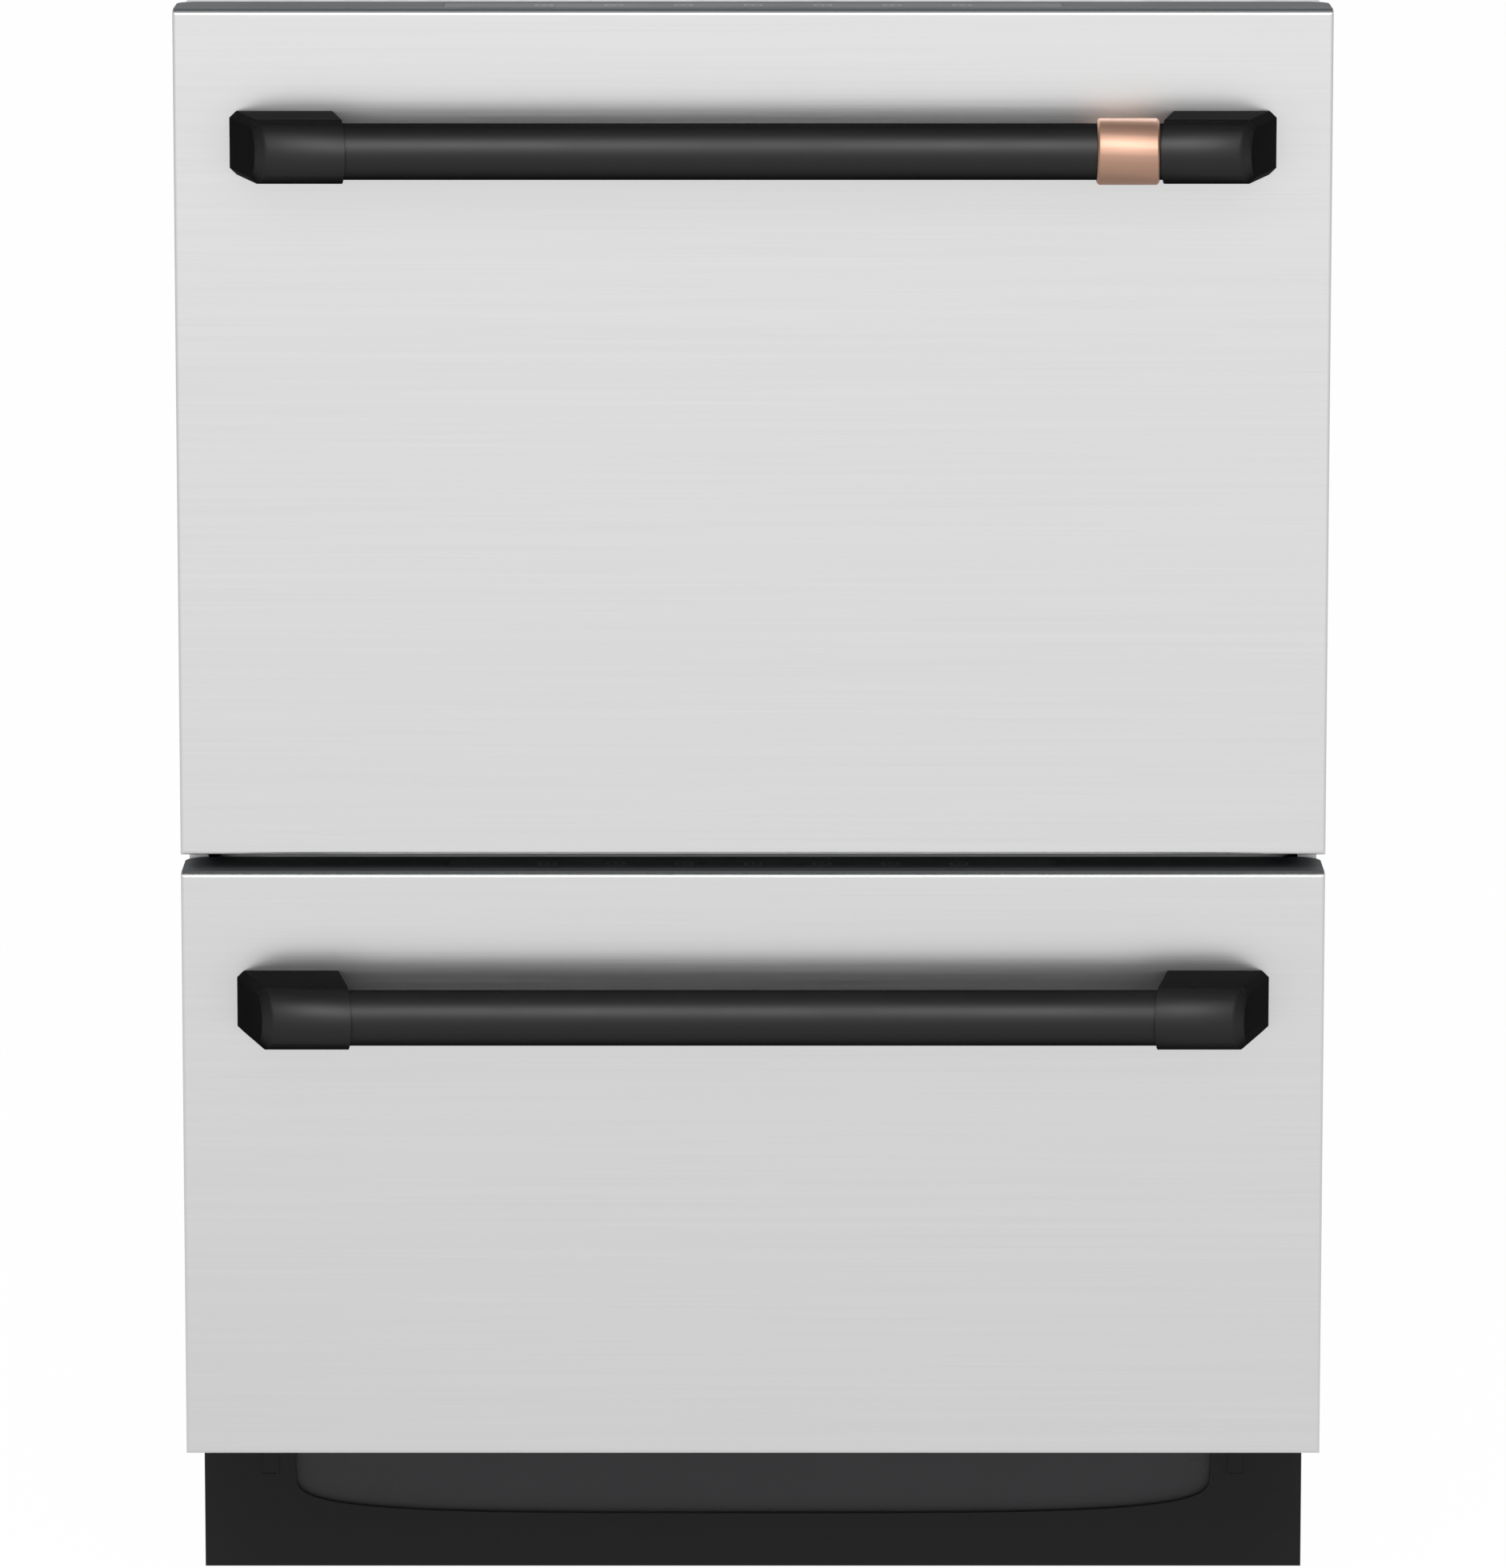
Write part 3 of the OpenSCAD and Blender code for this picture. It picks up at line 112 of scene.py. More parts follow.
def soften(width, *names, segments=2):
    """Rounds the sharp edges of the named CAD nodes with a weld and a bevel."""
    for name in names:
        weld = nodes[name].modifiers.new("weld", "WELD")
        weld.merge_threshold = 0.00001
        bevel = nodes[name].modifiers.new("edge", "BEVEL")
        bevel.width = width
        bevel.segments = segments
        bevel.limit_method = "ANGLE"
        bevel.angle_limit = math.radians(35)
        bevel.harden_normals = True
        bevel.use_clamp_overlap = True


# Spangle: patches of crystal in the zinc, each a little lighter or darker, with a fine grain.
spangle, ends_in, ends_out = new_group(
    "zinc_spangle",
    [("Place", "NodeSocketVector", (0, 0, 0)), ("Colour", "NodeSocketColor", (0.6, 0.6, 0.6, 1)),
     ("Patch", "NodeSocketFloat", 90.0), ("Contrast", "NodeSocketFloat", 0.12)],
    [("Colour", "NodeSocketColor"), ("Roughness", "NodeSocketFloat"), ("Height", "NodeSocketFloat")],
)
crystal = put(spangle, "ShaderNodeTexVoronoi", feature="F1")
grain = put(spangle, "ShaderNodeTexNoise", Scale=900.0, Detail=2.0)
shade = put(spangle, "ShaderNodeSeparateColor")
spread = put(spangle, "ShaderNodeMath", operation="MULTIPLY_ADD")
spread.inputs[2].default_value = 0.94
tint = put(spangle, "ShaderNodeMix", data_type="RGBA", blend_type="MULTIPLY")
tint.inputs["Factor"].default_value = 1.0
rough = put(spangle, "ShaderNodeMapRange")
rough.inputs["To Min"].default_value = 0.5
rough.inputs["To Max"].default_value = 0.62
join(spangle, (ends_in, "Place", crystal, "Vector"), (ends_in, "Place", grain, "Vector"),
     (ends_in, "Patch", crystal, "Scale"), (crystal, "Color", shade, "Color"),
     (shade, "Red", spread, 0), (ends_in, "Contrast", spread, 1), (ends_in, "Colour", tint, "A"),
     (spread, "Value", tint, "B"), (shade, "Green", rough, "Value"),
     (tint, "Result", ends_out, "Colour"), (rough, "Result", ends_out, "Roughness"),
     (grain, "Fac", ends_out, "Height"))


def zinc_material(name, colour, patch, contrast):
    """Zinc-coated steel, with the size and the strength of its spangle."""
    material, tree, shader, bump, place = base_material(name, colour, 0.48, 0.85)
    bump.inputs["Distance"].default_value = 0.0001
    coat = add_group(tree, spangle, place, Colour=(*colour, 1), Patch=patch, Contrast=contrast)
    feed(tree, coat, shader, bump)
    return material


zinc_sheet = zinc_material("zinc_sheet", (0.62, 0.63, 0.64), 90.0, 0.14)
dress(zinc_sheet, "left_side_panel", "right_side_panel", "back_panel", "top_panel")
zinc_tray = zinc_material("zinc_tray", (0.55, 0.56, 0.57), 120.0, 0.18)
dress(zinc_tray, "base_tray", "front_rails")

# ---------------------------------------------------------------- cabinet screws
# Low pan-head screws with cross recesses hold the runners and the base tray to the side panels.
# They are zinc-plated steel, cold-headed, 8 mm across the head.


def stamped(source, name, matrix, body):
    """A copy of a finished shape with its own mesh, moved into place and set on a body."""
    made = source.copy()
    made.data = source.data.copy()
    made.name = name
    made.data.name = name
    made.data.transform(matrix)
    bpy.context.collection.objects.link(made)
    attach(made, body)
    return made


head_r = 0.004
head_h = 0.0016
cross_len = 0.0046
cross_w = 0.0009
bpy.ops.object.select_all(action="DESELECT")
bpy.ops.mesh.primitive_cylinder_add(vertices=32, radius=head_r, depth=head_h, location=(0, 0, head_h / 2))
screw = bpy.context.object
bpy.ops.object.transform_apply(location=True, rotation=True, scale=True)
bpy.ops.object.mode_set(mode="EDIT")
bpy.ops.mesh.select_mode(type="FACE")
bpy.ops.mesh.select_all(action="DESELECT")
bpy.ops.object.mode_set(mode="OBJECT")
for face in screw.data.polygons:
    face.select = face.normal.z > 0.9
bpy.ops.object.mode_set(mode="EDIT")
bpy.ops.mesh.bevel(offset=0.0009, segments=4)
bpy.ops.object.mode_set(mode="OBJECT")
for turn in (0, 90):
    bpy.ops.object.select_all(action="DESELECT")
    bpy.ops.mesh.primitive_cube_add(size=1, location=(0, 0, 0.0018))
    blade = bpy.context.object
    blade.scale = (cross_len, cross_w, 0.002)
    blade.rotation_euler = (0, 0, math.radians(turn))
    bpy.ops.object.transform_apply(location=True, rotation=True, scale=True)
    bpy.context.view_layer.objects.active = screw
    slot_cut = screw.modifiers.new("slot", "BOOLEAN")
    slot_cut.operation = "DIFFERENCE"
    slot_cut.object = blade
    bpy.ops.object.modifier_apply(modifier="slot")
    bpy.data.objects.remove(blade)
bpy.ops.object.select_all(action="DESELECT")
screw.select_set(True)
bpy.context.view_layer.objects.active = screw
bpy.ops.object.shade_smooth_by_angle(angle=math.radians(35))
screw_zinc = zinc_material("screw_zinc", (0.66, 0.66, 0.67), 900.0, 0.1)
screw.data.materials.append(screw_zinc)

side_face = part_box("right_side_panel")[1][0]
screw_places = [(y, z) for y in (-0.17, 0.02, 0.21) for z in (0.21, 0.575)]
screw_places += [(-0.15, 0.088), (0.28, 0.088)]
for index, (y, z) in enumerate(screw_places):
    for side, turn in (("left", -90), ("right", 90)):
        face_out = Matrix.Rotation(math.radians(turn), 4, "Y")
        reach = side_face if side == "right" else -side_face
        stamped(screw, f"{side}_screw_{index + 1}", Matrix.Translation((reach, y, z)) @ face_out, "chassis")
bpy.data.objects.remove(screw)

# ---------------------------------------------------------------- stainless door panels
# Each door's face is one sheet of stainless steel, brushed across its width and folded back
# on all four sides over the moulded frame. The brushing spreads reflections up and down.

brushing, ends_in, ends_out = new_group(
    "cross_brushing",
    [("Place", "NodeSocketVector", (0, 0, 0)), ("Colour", "NodeSocketColor", (0.7, 0.7, 0.7, 1)),
     ("Contrast", "NodeSocketFloat", 0.05), ("Roughness", "NodeSocketFloat", 0.34)],
    [("Colour", "NodeSocketColor"), ("Roughness", "NodeSocketFloat"), ("Height", "NodeSocketFloat")],
)
stretch = put(brushing, "ShaderNodeMapping")
stretch.inputs["Scale"].default_value = (9.0, 9.0, 2600.0)
lines = put(brushing, "ShaderNodeTexNoise", Scale=1.0, Detail=3.0, Roughness=0.65)
long_stretch = put(brushing, "ShaderNodeMapping")
long_stretch.inputs["Scale"].default_value = (2.2, 2.2, 420.0)
bands = put(brushing, "ShaderNodeTexNoise", Scale=1.0, Detail=4.0, Roughness=0.6)
mixed = put(brushing, "ShaderNodeMix", data_type="FLOAT")
mixed.inputs["Factor"].default_value = 0.45
centred = put(brushing, "ShaderNodeMath", operation="SUBTRACT")
centred.inputs[1].default_value = 0.5
scaled = put(brushing, "ShaderNodeMath", operation="MULTIPLY_ADD")
scaled.inputs[2].default_value = 1.0
tint = put(brushing, "ShaderNodeMix", data_type="RGBA", blend_type="MULTIPLY")
tint.inputs["Factor"].default_value = 1.0
rougher = put(brushing, "ShaderNodeMath", operation="MULTIPLY_ADD")
rougher.inputs[1].default_value = 0.16
for noise, mapping in ((lines, stretch), (bands, long_stretch)):
    join(brushing, (ends_in, "Place", mapping, "Vector"), (mapping, "Vector", noise, "Vector"))
join(brushing, (lines, "Fac", mixed, "A"), (bands, "Fac", mixed, "B"), (mixed, "Result", centred, 0),
     (centred, "Value", scaled, 0), (ends_in, "Contrast", scaled, 1), (ends_in, "Colour", tint, "A"),
     (scaled, "Value", tint, "B"), (centred, "Value", rougher, 0), (ends_in, "Roughness", rougher, 2),
     (tint, "Result", ends_out, "Colour"), (rougher, "Value", ends_out, "Roughness"),
     (mixed, "Result", ends_out, "Height"))

steel_colour = (0.735, 0.735, 0.735)
door_steel, tree, shader, bump, place = base_material("door_steel", steel_colour, 0.34, 1.0)
shader.inputs["Anisotropic"].default_value = 0.6
bump.inputs["Strength"].default_value = 0.35
bump.inputs["Distance"].default_value = 0.00004
brush = add_group(tree, brushing, place, Colour=(*steel_colour, 1), Contrast=0.16, Roughness=0.32)
feed(tree, brush, shader, bump)
dress(door_steel, "lower_front_panel", "upper_front_panel")

# ---------------------------------------------------------------- door frames and caps
# Behind each sheet is a ribbed frame moulded in dark plastic, closed at the top by a cap.
# A smooth touch strip lies flush in the cap, where it shows only when the drawer is open.

moulding, ends_in, ends_out = new_group(
    "moulded_grain",
    [("Place", "NodeSocketVector", (0, 0, 0)), ("Colour", "NodeSocketColor", (0.1, 0.1, 0.1, 1)),
     ("Grain", "NodeSocketFloat", 1400.0), ("Mottle", "NodeSocketFloat", 0.12),
     ("Roughness", "NodeSocketFloat", 0.5)],
    [("Colour", "NodeSocketColor"), ("Roughness", "NodeSocketFloat"), ("Height", "NodeSocketFloat")],
)
pits = put(moulding, "ShaderNodeTexNoise", Detail=2.0, Roughness=0.6)
cloud = put(moulding, "ShaderNodeTexNoise", Scale=14.0, Detail=3.0)
centred = put(moulding, "ShaderNodeMath", operation="SUBTRACT")
centred.inputs[1].default_value = 0.5
scaled = put(moulding, "ShaderNodeMath", operation="MULTIPLY_ADD")
scaled.inputs[2].default_value = 1.0
tint = put(moulding, "ShaderNodeMix", data_type="RGBA", blend_type="MULTIPLY")
tint.inputs["Factor"].default_value = 1.0
rougher = put(moulding, "ShaderNodeMath", operation="MULTIPLY_ADD")
rougher.inputs[1].default_value = 0.18
join(moulding, (ends_in, "Place", pits, "Vector"), (ends_in, "Place", cloud, "Vector"),
     (ends_in, "Grain", pits, "Scale"), (cloud, "Fac", centred, 0), (centred, "Value", scaled, 0),
     (ends_in, "Mottle", scaled, 1), (ends_in, "Colour", tint, "A"), (scaled, "Value", tint, "B"),
     (centred, "Value", rougher, 0), (ends_in, "Roughness", rougher, 2),
     (tint, "Result", ends_out, "Colour"), (rougher, "Value", ends_out, "Roughness"),
     (pits, "Fac", ends_out, "Height"))


def moulded(name, colour, roughness, grain=1400.0, mottle=0.12, depth=0.00006):
    """A plastic or painted finish with a fine grain and a slight unevenness."""
    material, tree, shader, bump, place = base_material(name, colour, roughness)
    bump.inputs["Distance"].default_value = depth
    skin = add_group(tree, moulding, place, Colour=(*colour, 1), Grain=grain, Mottle=mottle,
                     Roughness=roughness)
    skin.name = "skin"
    feed(tree, skin, shader, bump)
    return material


frame_plastic = moulded("frame_plastic", (0.05, 0.054, 0.06), 0.5)
dress(frame_plastic, "lower_door_frame", "upper_door_frame")
cap_plastic = moulded("cap_plastic", (0.055, 0.060, 0.064), 0.6, grain=1800.0)
cap_plastic.node_tree.nodes["Principled BSDF"].inputs["Specular IOR Level"].default_value = 0.2
dress(cap_plastic, "lower_door_cap", "upper_door_cap")
soften(0.0005, "lower_door_cap", "upper_door_cap")

# Touch marks: a row of thin pale rings, and a dot inside each one.
marks, ends_in, ends_out = new_group(
    "touch_marks",
    [("Place", "NodeSocketVector", (0, 0, 0)), ("Ground", "NodeSocketColor", (0.03, 0.03, 0.03, 1)),
     ("Mark", "NodeSocketColor", (0.45, 0.45, 0.45, 1)), ("Pitch", "NodeSocketFloat", 0.036),
     ("Radius", "NodeSocketFloat", 0.0045), ("Line", "NodeSocketFloat", 0.0003),
     ("Row", "NodeSocketFloat", -0.2322), ("Reach", "NodeSocketFloat", 0.126)],
    [("Colour", "NodeSocketColor")],
)
axes = put(marks, "ShaderNodeSeparateXYZ")
along = put(marks, "ShaderNodeMath", operation="PINGPONG")
half = put(marks, "ShaderNodeMath", operation="MULTIPLY")
half.inputs[1].default_value = 0.5
across = put(marks, "ShaderNodeMath", operation="SUBTRACT")
square_x = put(marks, "ShaderNodeMath", operation="MULTIPLY")
square_y = put(marks, "ShaderNodeMath", operation="MULTIPLY")
summed = put(marks, "ShaderNodeMath", operation="ADD")
far = put(marks, "ShaderNodeMath", operation="SQRT")
off_ring = put(marks, "ShaderNodeMath", operation="SUBTRACT")
off_size = put(marks, "ShaderNodeMath", operation="ABSOLUTE")
on_ring = put(marks, "ShaderNodeMath", operation="LESS_THAN")
on_dot = put(marks, "ShaderNodeMath", operation="LESS_THAN")
on_dot.inputs[1].default_value = 0.0008
either = put(marks, "ShaderNodeMath", operation="MAXIMUM")
span = put(marks, "ShaderNodeMath", operation="ABSOLUTE")
inside = put(marks, "ShaderNodeMath", operation="LESS_THAN")
drawn_mark = put(marks, "ShaderNodeMath", operation="MULTIPLY")
ink = put(marks, "ShaderNodeMix", data_type="RGBA")
join(marks, (ends_in, "Place", axes, "Vector"), (axes, "X", along, 0), (ends_in, "Pitch", half, 0),
     (half, "Value", along, 1), (axes, "Y", across, 0), (ends_in, "Row", across, 1))
for source, target in ((along, square_x), (across, square_y)):
    join(marks, (source, "Value", target, 0), (source, "Value", target, 1))
join(marks, (square_x, "Value", summed, 0), (square_y, "Value", summed, 1), (summed, "Value", far, 0),
     (far, "Value", off_ring, 0), (ends_in, "Radius", off_ring, 1), (off_ring, "Value", off_size, 0),
     (off_size, "Value", on_ring, 0), (ends_in, "Line", on_ring, 1), (far, "Value", on_dot, 0),
     (on_ring, "Value", either, 0), (on_dot, "Value", either, 1), (axes, "X", span, 0),
     (span, "Value", inside, 0), (ends_in, "Reach", inside, 1), (either, "Value", drawn_mark, 0),
     (inside, "Value", drawn_mark, 1), (drawn_mark, "Value", ink, "Factor"),
     (ends_in, "Ground", ink, "A"), (ends_in, "Mark", ink, "B"), (ink, "Result", ends_out, "Colour"))

strip_grey = (0.052, 0.057, 0.061)
strip_rough = 0.5
touch_gloss, tree, shader, bump, place = base_material("touch_gloss", strip_grey, strip_rough)
shader.inputs["Specular IOR Level"].default_value = 0.2
bump.inputs["Distance"].default_value = 0.00001
skin = add_group(tree, moulding, place, Colour=(*strip_grey, 1), Grain=300.0, Mottle=0.1,
                 Roughness=strip_rough)
keys = add_group(tree, marks, place, Mark=(0.35, 0.36, 0.37, 1))
join(tree, (skin, "Colour", keys, "Ground"), (keys, "Colour", shader, "Base Color"),
     (skin, "Roughness", shader, "Roughness"), (skin, "Height", bump, "Height"))
dress(touch_gloss, "lower_control_strip", "upper_control_strip")

# ---------------------------------------------------------------- handles
# A steel tube with a matte black coat runs between two cast end posts of the same finish.
# The upper handle also has a polished copper-plated ring against its right post.

# The coat is a dark metal paint that stays black where it is seen at a glancing angle.
handle_coat = moulded("handle_coat", (0.036, 0.036, 0.037), 0.5, grain=2200.0, mottle=0.06, depth=0.00005)
coat_shader = handle_coat.node_tree.nodes["Principled BSDF"]
coat_shader.inputs["Metallic"].default_value = 1.0
coat_shader.inputs["Specular Tint"].default_value = (0.15, 0.15, 0.15, 1)
dress(handle_coat, "lower_handle_bar", "upper_handle_bar")
dress(handle_coat, "lower_handle_left_post", "upper_handle_left_post",
      "lower_handle_right_post", "upper_handle_right_post")
soften(0.0008, "lower_handle_left_post", "upper_handle_left_post",
       "lower_handle_right_post", "upper_handle_right_post", segments=3)

copper = (0.46, 0.28, 0.205)
ring_rough = 0.5
ring_metal, tree, shader, bump, place = base_material("ring_metal", copper, ring_rough, 1.0)
bump.inputs["Strength"].default_value = 0.1
bump.inputs["Distance"].default_value = 0.00002
polish = add_group(tree, moulding, place, Colour=(*copper, 1), Grain=700.0, Mottle=0.05,
                   Roughness=ring_rough)
feed(tree, polish, shader, bump)
dress(ring_metal, "handle_ring")
soften(0.0003, "handle_ring")

# ---------------------------------------------------------------- toe kick
# The toe kick is a painted steel plate with a wide shallow scoop pressed in at the top.
# It clips to the base tray between the front feet.

# The flat of the plate is glossy black. The pressed scoop is painted a lighter grey where it lies deeper, a
# painted highlight standing in for the light its sloping face catches.
recess, ends_in, ends_out = new_group(
    "recess_painted_highlight",
    [("Place", "NodeSocketVector", (0, 0, 0)), ("Face", "NodeSocketFloat", 0.0),
     ("Depth", "NodeSocketFloat", 0.005), ("Outside", "NodeSocketColor", (0.01, 0.01, 0.01, 1)),
     ("Inside", "NodeSocketColor", (0.04, 0.04, 0.04, 1))],
    [("Colour", "NodeSocketColor"), ("Amount", "NodeSocketFloat")],
)
axes = put(recess, "ShaderNodeSeparateXYZ")
behind = put(recess, "ShaderNodeMath", operation="SUBTRACT")
share = put(recess, "ShaderNodeMath", operation="DIVIDE")
pressed = put(recess, "ShaderNodeMapRange", interpolation_type="SMOOTHSTEP")
pressed.inputs["From Min"].default_value = 0.4
pressed.inputs["From Max"].default_value = 0.95
shade = put(recess, "ShaderNodeMix", data_type="RGBA")
join(recess, (ends_in, "Place", axes, "Vector"), (axes, "Y", behind, 0), (ends_in, "Face", behind, 1),
     (behind, "Value", share, 0), (ends_in, "Depth", share, 1), (share, "Value", pressed, "Value"),
     (pressed, "Result", shade, "Factor"), (ends_in, "Outside", shade, "A"),
     (ends_in, "Inside", shade, "B"), (shade, "Result", ends_out, "Colour"),
     (pressed, "Result", ends_out, "Amount"))

plate_black = (0.009, 0.009, 0.0095)
# The scoop's lighter grey is painted light, not a finish of its own.
scoop_painted_light_grey = (0.050, 0.050, 0.053)
clip_reach = 0.002
kick_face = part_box("toe_kick")[0][1] + clip_reach
kick_paint = moulded("kick_paint", plate_black, 0.3, grain=900.0, mottle=0.2, depth=0.00004)
tree = kick_paint.node_tree
tree.nodes["Principled BSDF"].inputs["Specular IOR Level"].default_value = 0.17
# Paints the scoop lighter by its depth behind the plate's face: a painted highlight.
scoop_highlight_paint = add_group(tree, recess, tree.nodes["place"], Face=kick_face, Outside=(*plate_black, 1),
                  Inside=(*scoop_painted_light_grey, 1))
join(tree, (scoop_highlight_paint, "Colour", tree.nodes["skin"], "Colour"))
dress(kick_paint, "toe_kick")

# ---------------------------------------------------------------- runners and lid lifters
# Each drawer hangs on a pair of rolled steel telescopic runners with two rows of balls.
# White moulded blocks on the side panels lift the lids by their pins.

bright_steel = (0.6, 0.6, 0.61)
runner_steel, tree, shader, bump, place = base_material("runner_steel", bright_steel, 0.3, 1.0)
bump.inputs["Distance"].default_value = 0.00005
drawn = add_group(tree, brushing, place, Colour=(*bright_steel, 1), Contrast=0.2, Roughness=0.3)
feed(tree, drawn, shader, bump)
dress(runner_steel, "cabinet_runners")
for level in ("lower", "upper"):
    dress(runner_steel, level + "_drawer_runners", level + "_middle_runners")
block_white = moulded("block_white", (0.72, 0.72, 0.70), 0.4, grain=1100.0)
dress(block_white, "lid_lifters", "water_connection")

# ---------------------------------------------------------------- feet and connections
# Four levelling feet screw up into the base tray: a black pad under a steel rod.
# The inlet valve, drain spigot and terminal box stand behind the window in the back panel.

pad_black = (0.04, 0.04, 0.042)
foot_black = moulded("foot_black", pad_black, 0.5)
dress(foot_black, "drain_connection", "terminal_box")

# Above its moulded pad each foot is a zinc-plated rod with a rolled thread.
threading, ends_in, ends_out = new_group(
    "rolled_thread",
    [("Place", "NodeSocketVector", (0, 0, 0)), ("Start", "NodeSocketFloat", 0.017),
     ("Pitch", "NodeSocketFloat", 0.0015), ("Pad", "NodeSocketColor", (*pad_black, 1)),
     ("Rod", "NodeSocketColor", (*bright_steel, 1))],
    [("Colour", "NodeSocketColor"), ("Roughness", "NodeSocketFloat"), ("Metallic", "NodeSocketFloat"),
     ("Height", "NodeSocketFloat")],
)
axes = put(threading, "ShaderNodeSeparateXYZ")
on_rod = put(threading, "ShaderNodeMath", operation="GREATER_THAN")
half = put(threading, "ShaderNodeMath", operation="MULTIPLY")
half.inputs[1].default_value = 0.5
ridge = put(threading, "ShaderNodeMath", operation="PINGPONG")
level_ridge = put(threading, "ShaderNodeMath", operation="DIVIDE")
cut_ridge = put(threading, "ShaderNodeMath", operation="MULTIPLY")
shade = put(threading, "ShaderNodeMix", data_type="RGBA")
gloss = put(threading, "ShaderNodeMapRange")
gloss.inputs["To Min"].default_value = 0.5
gloss.inputs["To Max"].default_value = 0.32
join(threading, (ends_in, "Place", axes, "Vector"), (axes, "Z", on_rod, 0),
     (ends_in, "Start", on_rod, 1), (ends_in, "Pitch", half, 0), (axes, "Z", ridge, 0),
     (half, "Value", ridge, 1), (ridge, "Value", level_ridge, 0), (half, "Value", level_ridge, 1),
     (level_ridge, "Value", cut_ridge, 0), (on_rod, "Value", cut_ridge, 1),
     (on_rod, "Value", shade, "Factor"), (ends_in, "Pad", shade, "A"), (ends_in, "Rod", shade, "B"),
     (on_rod, "Value", gloss, "Value"), (shade, "Result", ends_out, "Colour"),
     (gloss, "Result", ends_out, "Roughness"), (on_rod, "Value", ends_out, "Metallic"),
     (cut_ridge, "Value", ends_out, "Height"))

foot_parts, tree, shader, bump, place = base_material("foot_parts", pad_black, 0.5)
bump.inputs["Strength"].default_value = 0.6
bump.inputs["Distance"].default_value = 0.0006
rolled = add_group(tree, threading, place)
join(tree, (rolled, "Colour", shader, "Base Color"), (rolled, "Roughness", shader, "Roughness"),
     (rolled, "Metallic", shader, "Metallic"), (rolled, "Height", bump, "Height"))
dress(foot_parts, "levelling_feet")

# ---------------------------------------------------------------- tubs, lids and seals
# Each tub is one pale grey moulding with ribbed walls and a bowl in its floor.
# A ribbed lid with a soft seal closes it when the drawer is shut.

tub_grey = moulded("tub_grey", (0.56, 0.58, 0.60), 0.36, grain=600.0, mottle=0.08)
lid_white = moulded("lid_white", (0.66, 0.67, 0.67), 0.4, grain=800.0, mottle=0.08)
seal_rubber = moulded("seal_rubber", (0.045, 0.045, 0.048), 0.62, grain=1600.0)
for level in ("lower", "upper"):
    dress(tub_grey, level + "_tub")
    dress(lid_white, level + "_lid")
    dress(seal_rubber, level + "_lid_seal")

# ---------------------------------------------------------------- wash parts
# The motor hangs under the sump and turns the spray arm through it. A strainer plate and a
# drain filter keep food out of the pump.

motor_black = moulded("motor_black", (0.05, 0.05, 0.055), 0.4, grain=1000.0)
filter_grey = moulded("filter_grey", (0.2, 0.21, 0.23), 0.45)
arm_blue = moulded("arm_blue", (0.36, 0.41, 0.48), 0.35, grain=900.0)
for level in ("lower", "upper"):
    dress(motor_black, level + "_wash_motor")
    dress(filter_grey, level + "_filter_plate", level + "_drain_filter")
    dress(arm_blue, level + "_spray_arm")

# ---------------------------------------------------------------- racks and basket
# The racks are welded wire with a thick grey nylon coat. The cup shelf and the cutlery
# basket are moulded, and a row of tines folds down on a rod of its own.

rack_nylon = moulded("rack_nylon", (0.25, 0.27, 0.30), 0.32, grain=700.0, mottle=0.08, depth=0.0001)
basket_grey = moulded("basket_grey", (0.15, 0.16, 0.18), 0.45)
for level in ("lower", "upper"):
    dress(rack_nylon, level + "_rack", level + "_folding_tines")
    dress(basket_grey, level + "_cup_shelf", level + "_cutlery_basket")

# ---------------------------------------------------------------- dispensers
# A moulded detergent dispenser stands on the tub's front wall, with a hinged lid over the
# cup and a blue twist cap over the rinse-aid well.

cap_blue = moulded("cap_blue", (0.04, 0.13, 0.36), 0.3, grain=900.0)
for level in ("lower", "upper"):
    dress(filter_grey, level + "_dispenser", level + "_dispenser_door")
    dress(cap_blue, level + "_rinse_cap")

# ---------------------------------------------------------------- floor, light and camera
# The appliance stands on a plain white floor under soft studio light, seen from in front and
# a little above through a long lens.

bpy.ops.object.select_all(action="DESELECT")
bpy.ops.mesh.primitive_plane_add(size=80.0, location=(0, 0, -0.0005))
floor = bpy.context.object
floor.name = "floor"
floor_paint = bpy.data.materials.new("floor_paint")
floor_paint.use_nodes = True
tree = floor_paint.node_tree
tree.nodes.clear()
paint = put(tree, "ShaderNodeBsdfDiffuse", Color=(0.88, 0.88, 0.88, 1))
glow = put(tree, "ShaderNodeEmission", Color=(1, 1, 1, 1), Strength=1.0)
path = tree.nodes.new("ShaderNodeLightPath")
mirrored = put(tree, "ShaderNodeMath", operation="MAXIMUM")
mirrored_part = put(tree, "ShaderNodeMath", operation="MULTIPLY")
mirrored_part.inputs[1].default_value = 0.9
glow_level = put(tree, "ShaderNodeMath", operation="MULTIPLY_ADD")
# Seen straight on, the floor is white. In reflections its glow is dimmer near the appliance and brightens
# towards the front, a painted shade standing in for the appliance's shadow on the floor.
on_floor = tree.nodes.new("ShaderNodeTexCoord")
floor_axes = tree.nodes.new("ShaderNodeSeparateXYZ")
forward = put(tree, "ShaderNodeMapRange", interpolation_type="SMOOTHSTEP")
forward.inputs["From Min"].default_value = -0.3
forward.inputs["From Max"].default_value = -5.0
forward.inputs["To Min"].default_value = 0.82
forward.inputs["To Max"].default_value = 1.0
join(tree, (on_floor, "Object", floor_axes, "Vector"), (floor_axes, "Y", forward, "Value"),
     (forward, "Result", glow_level, 0), (mirrored, "Value", glow_level, 1),
     (path, "Is Camera Ray", glow_level, 2), (glow_level, "Value", glow, "Strength"))
seen_part = put(tree, "ShaderNodeMath", operation="MULTIPLY_ADD")
seen_part.inputs[1].default_value = 0.98
blend = tree.nodes.new("ShaderNodeMixShader")
out = tree.nodes.new("ShaderNodeOutputMaterial")
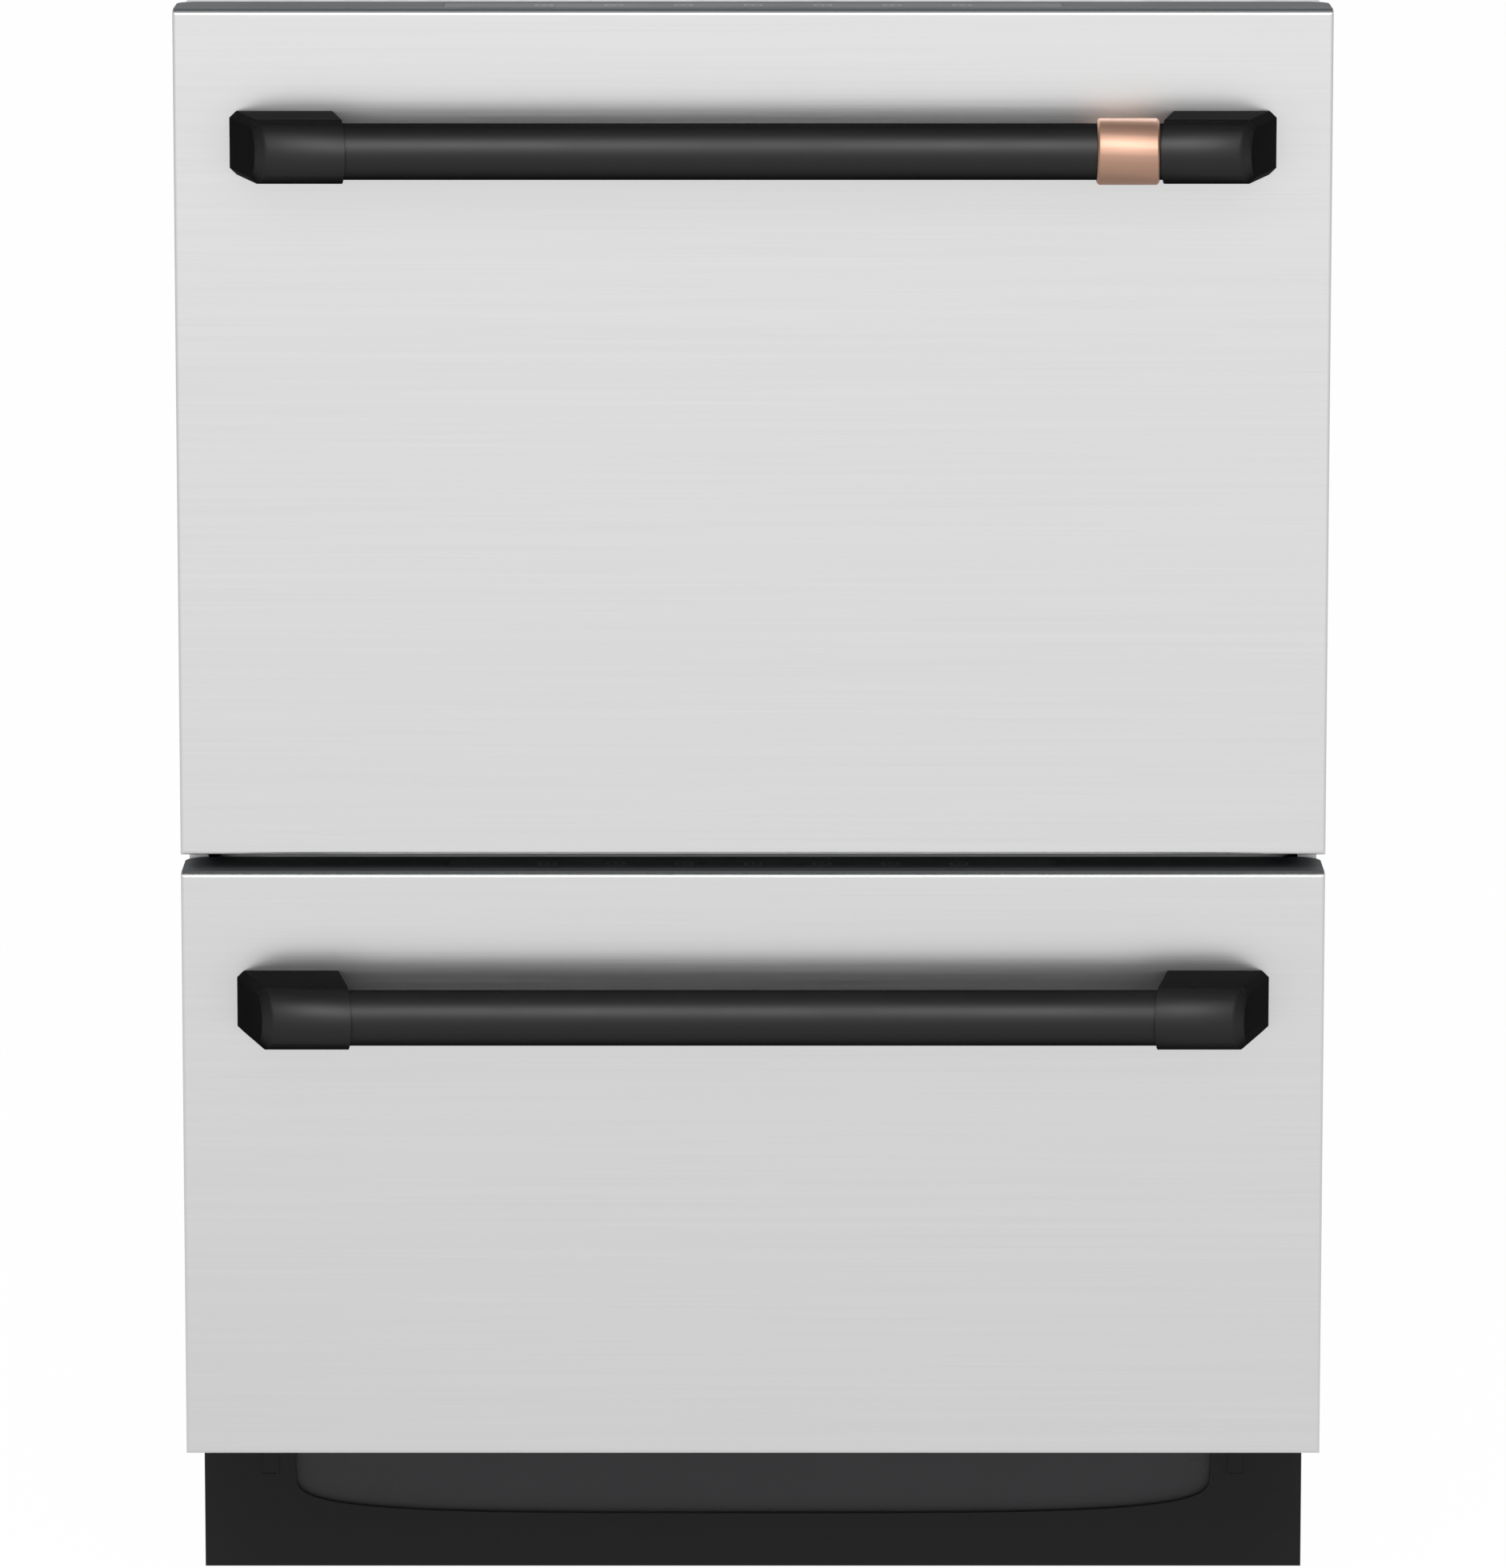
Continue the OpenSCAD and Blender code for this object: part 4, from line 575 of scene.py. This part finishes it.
join(tree, (path, "Is Glossy Ray", mirrored, 0), (path, "Is Transmission Ray", mirrored, 1),
     (mirrored, "Value", mirrored_part, 0), (path, "Is Camera Ray", seen_part, 0),
     (mirrored_part, "Value", seen_part, 2), (seen_part, "Value", blend, "Fac"),
     (paint, "BSDF", blend, 1), (glow, "Emission", blend, 2), (blend, "Shader", out, "Surface"))
floor.data.materials.append(floor_paint)

world = bpy.data.worlds.new("studio")
bpy.context.scene.world = world
world.use_nodes = True
sky_tree = world.node_tree
sky = sky_tree.nodes["Background"]
# The studio is bright behind the camera, dimmer overhead and dim towards both sides.
toward = sky_tree.nodes.new("ShaderNodeTexCoord")
axes = sky_tree.nodes.new("ShaderNodeSeparateXYZ")
sideways = put(sky_tree, "ShaderNodeMath", operation="ABSOLUTE")
side_dim = put(sky_tree, "ShaderNodeMapRange", interpolation_type="SMOOTHSTEP")
top_dim = put(sky_tree, "ShaderNodeMapRange", interpolation_type="SMOOTHSTEP")
together = put(sky_tree, "ShaderNodeMath", operation="MULTIPLY")
side_dim.inputs["From Min"].default_value = 0.55
side_dim.inputs["From Max"].default_value = 0.92
side_dim.inputs["To Min"].default_value = 1.22
side_dim.inputs["To Max"].default_value = 0.22
top_dim.inputs["From Min"].default_value = 0.4
top_dim.inputs["From Max"].default_value = 0.9
top_dim.inputs["To Min"].default_value = 1.0
top_dim.inputs["To Max"].default_value = 0.3
join(sky_tree, (toward, "Generated", axes, "Vector"), (axes, "X", sideways, 0),
     (sideways, "Value", side_dim, "Value"), (axes, "Z", top_dim, "Value"),
     (side_dim, "Result", together, 0), (top_dim, "Result", together, 1),
     (together, "Value", sky, "Strength"))
sky.inputs["Color"].default_value = (1, 1, 1, 1)


def soft_lamp(name, place, target, width, height, power):
    """A soft box that points from place to target."""
    lamp = bpy.data.lights.new(name, "AREA")
    lamp.shape = "RECTANGLE"
    lamp.size = width
    lamp.size_y = height
    lamp.energy = power
    holder = bpy.data.objects.new(name, lamp)
    bpy.context.collection.objects.link(holder)
    holder.location = place
    aim = Vector(target) - Vector(place)
    holder.rotation_euler = aim.to_track_quat("-Z", "Y").to_euler()
    return holder


soft_lamp("front_box", (0.0, -3.0, 2.55), (0, -0.25, 0.6), 3.0, 1.3, 90.0)

camera_data = bpy.data.cameras.new("camera")
camera = bpy.data.objects.new("camera", camera_data)
bpy.context.collection.objects.link(camera)
camera_distance = 5.0
frame_height = 0.818
camera_elevation = math.radians(9.6)
look_at = Vector((0.0, -0.2557, 0.4455))
away = Vector((0, -math.cos(camera_elevation), math.sin(camera_elevation)))
camera.location = look_at + away * camera_distance
camera.rotation_euler = (-away).to_track_quat("-Z", "Y").to_euler()
camera_data.sensor_width = 36.0
camera_data.sensor_fit = "VERTICAL"
camera_data.sensor_height = 36.0
camera_data.lens = 36.0 * camera_distance / frame_height
camera_data.clip_end = 200.0
bpy.context.scene.camera = camera

bpy.context.scene.view_settings.view_transform = "Standard"
